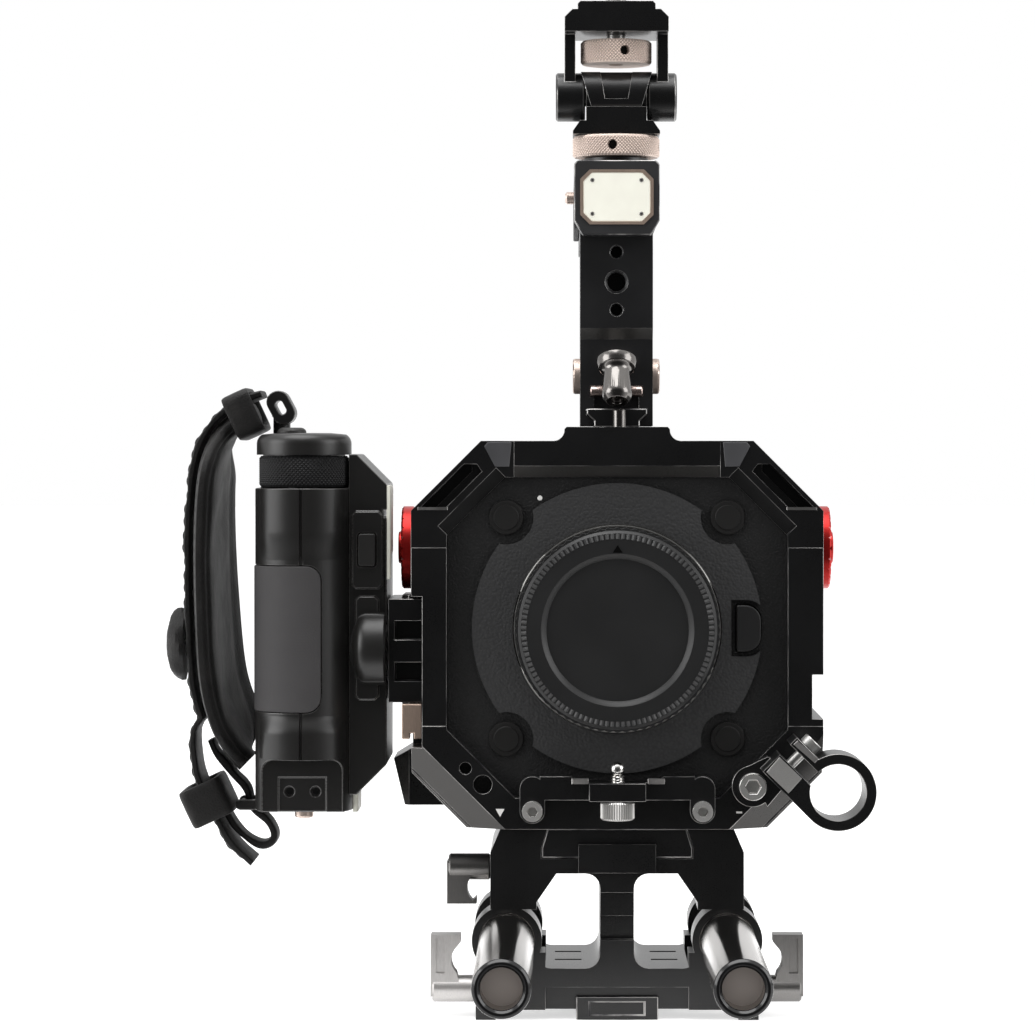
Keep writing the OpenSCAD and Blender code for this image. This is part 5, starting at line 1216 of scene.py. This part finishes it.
class RIG_OT_head(bpy.types.Operator):
    """Make the rivets and the rim of the name plate, a painted highlight of its lit bevels, and the
    small knob of the handle's head
    """

    bl_idname = "rig.head"
    bl_label = "Handle head"

    def execute(self, context):
        start, end = low("name_plate"), high("name_plate")
        rivet_r, inset_x, inset_z = 0.6, 2.6, 2.2
        depths = proud(start[1], rise=0.25, sink=0.1)
        rivets = [disc((x, z), rivet_r, *depths, bevel=0.2, count=16)
                  for x in (start[0] + inset_x, end[0] - inset_x)
                  for z in (start[2] + inset_z, end[2] - inset_z)]
        lay_surfaces("plate_rivets", rivets, "gunmetal", "top_handle")
        # Painted highlight: the rose rim stands for the lit bevels round the plate
        rim_highlight_w, corner_cut = 0.7, 2.6
        outline = cut_outline(start[[0, 2]], end[[0, 2]], corner_cut)
        rim = rim_grid(outline, rim_highlight_w, *proud(start[1], rise=0.15, sink=1.0))
        lay_surfaces("plate_rim_highlight", [rim], "tab_rose", "top_handle")
        knob_place, knob_r, knob_l = (-2.0, 225.0), 1.7, 2.4
        depths = proud(low("handle_head")[0], rise=knob_l, sink=0.0)
        knob = disc(knob_place, knob_r, *depths, axis="X", bevel=0.5, count=24)
        lay_surfaces("head_knob", [knob], "rose_metal", "top_handle")
        return {"FINISHED"}


class RIG_OT_camera(bpy.types.Operator):
    """Make the reeds and the arrow of the body cap, the discs of the plugs and the camera's lamp"""

    bl_idname = "rig.camera"
    bl_label = "Camera front"

    def execute(self, context):
        cap_y = low("body_cap")[1]
        half, foot, tip = 1.3, LENS_Z + 20.9, LENS_Z + 22.9
        arrow = slab(np.array([[-half, foot], [half, foot], [0, tip]]),
                     *proud(cap_y, rise=0.2, sink=1.0))
        lay_surfaces("cap_arrow", [arrow], "dark_mark", "body_cap")
        # The reeds take a lighter plastic than the cap: a painted highlight
        reeds = reed_grid(24.6, 26.6, *proud(cap_y, rise=0.25, sink=1.5))
        lay_surfaces("cap_reeds", [reeds], "cap_reed_highlight", "body_cap")
        plug_r, disc_r = 4.8, 3.5
        place = high("front_plugs")[[0, 2]] - plug_r - (0, LENS_Z)
        depths = proud(low("front_plugs")[1], rise=0.3, sink=0.1)
        discs = [disc((a * place[0], LENS_Z + b * place[1]), disc_r, *depths, bevel=0.25)
                 for a in (-1, 1) for b in (-1, 1)]
        lay_surfaces("plug_discs", discs, "plug_rubber", "cage")
        lamp_place, lamp_r = (-21.0, 141.9), 0.7
        lamp = disc(lamp_place, lamp_r, *proud(low("camera_body")[1], rise=0.2, sink=0.3),
                    bevel=0.15, count=20)
        lay_surfaces("lamp", [lamp], "white_mark", "cage")
        return {"FINISHED"}


class RIG_OT_cage(bpy.types.Operator):
    """Make the cage's marks, the lands and lips of its corners and the raised slabs on its support,
    which are painted highlights, its rail stop, and the lands of the rod holder"""

    bl_idname = "rig.cage"
    bl_label = "Cage"

    def execute(self, context):
        depths = proud(low("cage_bottom")[1], rise=0.1, sink=0.2)
        marks = [slab(np.array([[-33.0, 57.6], [-30.6, 57.6], [-31.8, 55.4]]), *depths),
                 slab(box_outline(32.3, 33.9, 56.4, 56.9), *depths)]
        lay_surfaces("witness_marks", marks, "white_mark", "cage")
        corner_y = low("cage_corner_left")[1]
        # Painted highlights: a lighter land on each corner and a bright lip along each side plate's top
        highlight_land = np.array([[36.1, 156.0], [35.2, 157.1], [28.7, 157.1], [29.3, 150.5], [33.2, 150.5]])
        highlight_lip = box_outline(46.0, 54.2, 138.7, 139.5)
        for way, tag in ((-1, "left"), (1, "right")):
            raised = slab(highlight_land * (way, 1), *proud(corner_y, rise=0.18, sink=0.2), bevel=0.15)
            lay_surfaces("corner_land_highlight_" + tag, [raised], "land_highlight_aluminium", "cage")
            raised = slab(highlight_lip * (way, 1), *proud(corner_y, rise=0.15, sink=0.2), bevel=0.1)
            lay_surfaces("corner_lip_highlight_" + tag, [raised], "edge", "cage")
        depths = proud(low("rod_holder")[1], rise=0.15, sink=0.2)
        jaw = np.array([[39.6, 69.0], [43.1, 73.0], [49.1, 67.3], [45.5, 63.3]])
        strip = np.array([[46.8, 76.4], [47.9, 77.4], [53.5, 72.5], [52.5, 71.4]])
        for tag, shape, finish in (("jaw", jaw, "screw_steel"), ("strip", strip, "silver_lever")):
            lay_surfaces("holder_" + tag, [slab(shape, *depths, bevel=0.1)], finish, "cage")
        rail = low("top_rail")
        stop_place, stop_r, stop_h = (0.6, rail[1] - 2.0), 1.85, 4.8
        stop = disc(stop_place, stop_r, *proud(rail[2], rise=stop_h, sink=0.1, way=1), axis="Z",
                    bevel=0.4)
        lay_surfaces("rail_stop", [stop], "dark_chrome", "cage")
        # Painted highlights: silver pads where the support's top chamfers are lit
        highlight_w, highlight_z0, highlight_z1, ledge = 4.6, 64.8, 66.3, low("lens_support")[1] + 3.2
        highlight_pads = [slab(box_outline(x, x + highlight_w, highlight_z0, highlight_z1), ledge, ledge + 1.4, bevel=0.2)
                for x in (-12.4, 8.2)]
        lay_surfaces("support_highlight_pads", highlight_pads, "silver_lever", "cage")
        return {"FINISHED"}


class RIG_OT_grip(bpy.types.Operator):
    """Make the side plates, the washer, the swivel's knuckle and the fuller zones of the side grip"""

    bl_idname = "rig.grip"
    bl_label = "Side grip"

    def execute(self, context):
        side = high("grip_housing")[0]
        wheel = middle_of("focus_wheel")
        upper = np.array([[-10.8, 119.4], [-8, 124], [-5.5, 126.4], [4, 126.4], [4, 145.2],
                          [-10.8, 145.2]])
        lower = box_outline(-5, 12, 54.7, 59.7)
        plates = [slab(upper, *proud(side, rise=1.1, sink=0.1, way=1), axis="X", bevel=0.3),
                  slab(lower, *proud(wheel[0] + GRIP_R, rise=1.4, sink=0.1, way=1), axis="X",
                       bevel=0.4)]
        lay_surfaces("housing_plates", plates, "plate_cream", "side_grip")
        washer_r, seat = 11.4, high("focus_wheel")[2] + 0.03
        washer = disc(wheel[:2], washer_r, *proud(seat, rise=0.25, sink=0.0, way=1), axis="Z")
        lay_surfaces("focus_washer", [washer], "grip_plastic", "side_grip")
        knuckle_place, knuckle_r, knuckle_l = (-10.0, LENS_Z - 6), 10.0, 10.0
        knuckle = knuckle_grid(knuckle_place, knuckle_r, side - knuckle_l, side - 0.15, back=-13.9)
        lay_surfaces("swivel_knuckle", [knuckle], "grip_plastic", "side_grip")
        swells = [swell_grid(plain_z=123.6, full_z=144.2), swell_grid(plain_z=82.9, full_z=70.3)]
        lay_surfaces("grip_swell", swells, "grip_plastic", "side_grip")
        return {"FINISHED"}


# The panel, registering and the run


class RIG_PT_panel(bpy.types.Panel):
    """Lists the rig's operators, sizes and colours"""

    bl_idname = "RIG_PT_panel"
    bl_label = "Camera rig"
    bl_space_type = "VIEW_3D"
    bl_region_type = "UI"
    bl_category = "Rig"

    def draw(self, context):
        for step in STEPS:
            self.layout.operator(step.bl_idname)
        for group in (context.scene.rig_sizes, context.scene.rig_colours):
            for name in group.__annotations__:
                self.layout.prop(group, name)


STEPS = (RIG_OT_stage, RIG_OT_dress, RIG_OT_wheels, RIG_OT_strap, RIG_OT_head, RIG_OT_camera,
         RIG_OT_cage, RIG_OT_grip)
CLASSES = (RigSizes, RigColours, *STEPS, RIG_PT_panel)


def register():
    """Registers the classes and puts the sizes and colours on the scene."""
    for cls in CLASSES:
        bpy.utils.register_class(cls)
    bpy.types.Scene.rig_sizes = PointerProperty(type=RigSizes)
    bpy.types.Scene.rig_colours = PointerProperty(type=RigColours)


def unregister():
    """Takes the classes, sizes and colours away again."""
    del bpy.types.Scene.rig_sizes
    del bpy.types.Scene.rig_colours
    for cls in reversed(CLASSES):
        bpy.utils.unregister_class(cls)


def main():
    register()
    bpy.ops.rig.stage()
    bpy.ops.rig.dress()
    bpy.ops.rig.wheels()
    bpy.ops.rig.strap()
    bpy.ops.rig.head()
    bpy.ops.rig.camera()
    bpy.ops.rig.cage()
    bpy.ops.rig.grip()


if __name__ == "__main__":
    main()
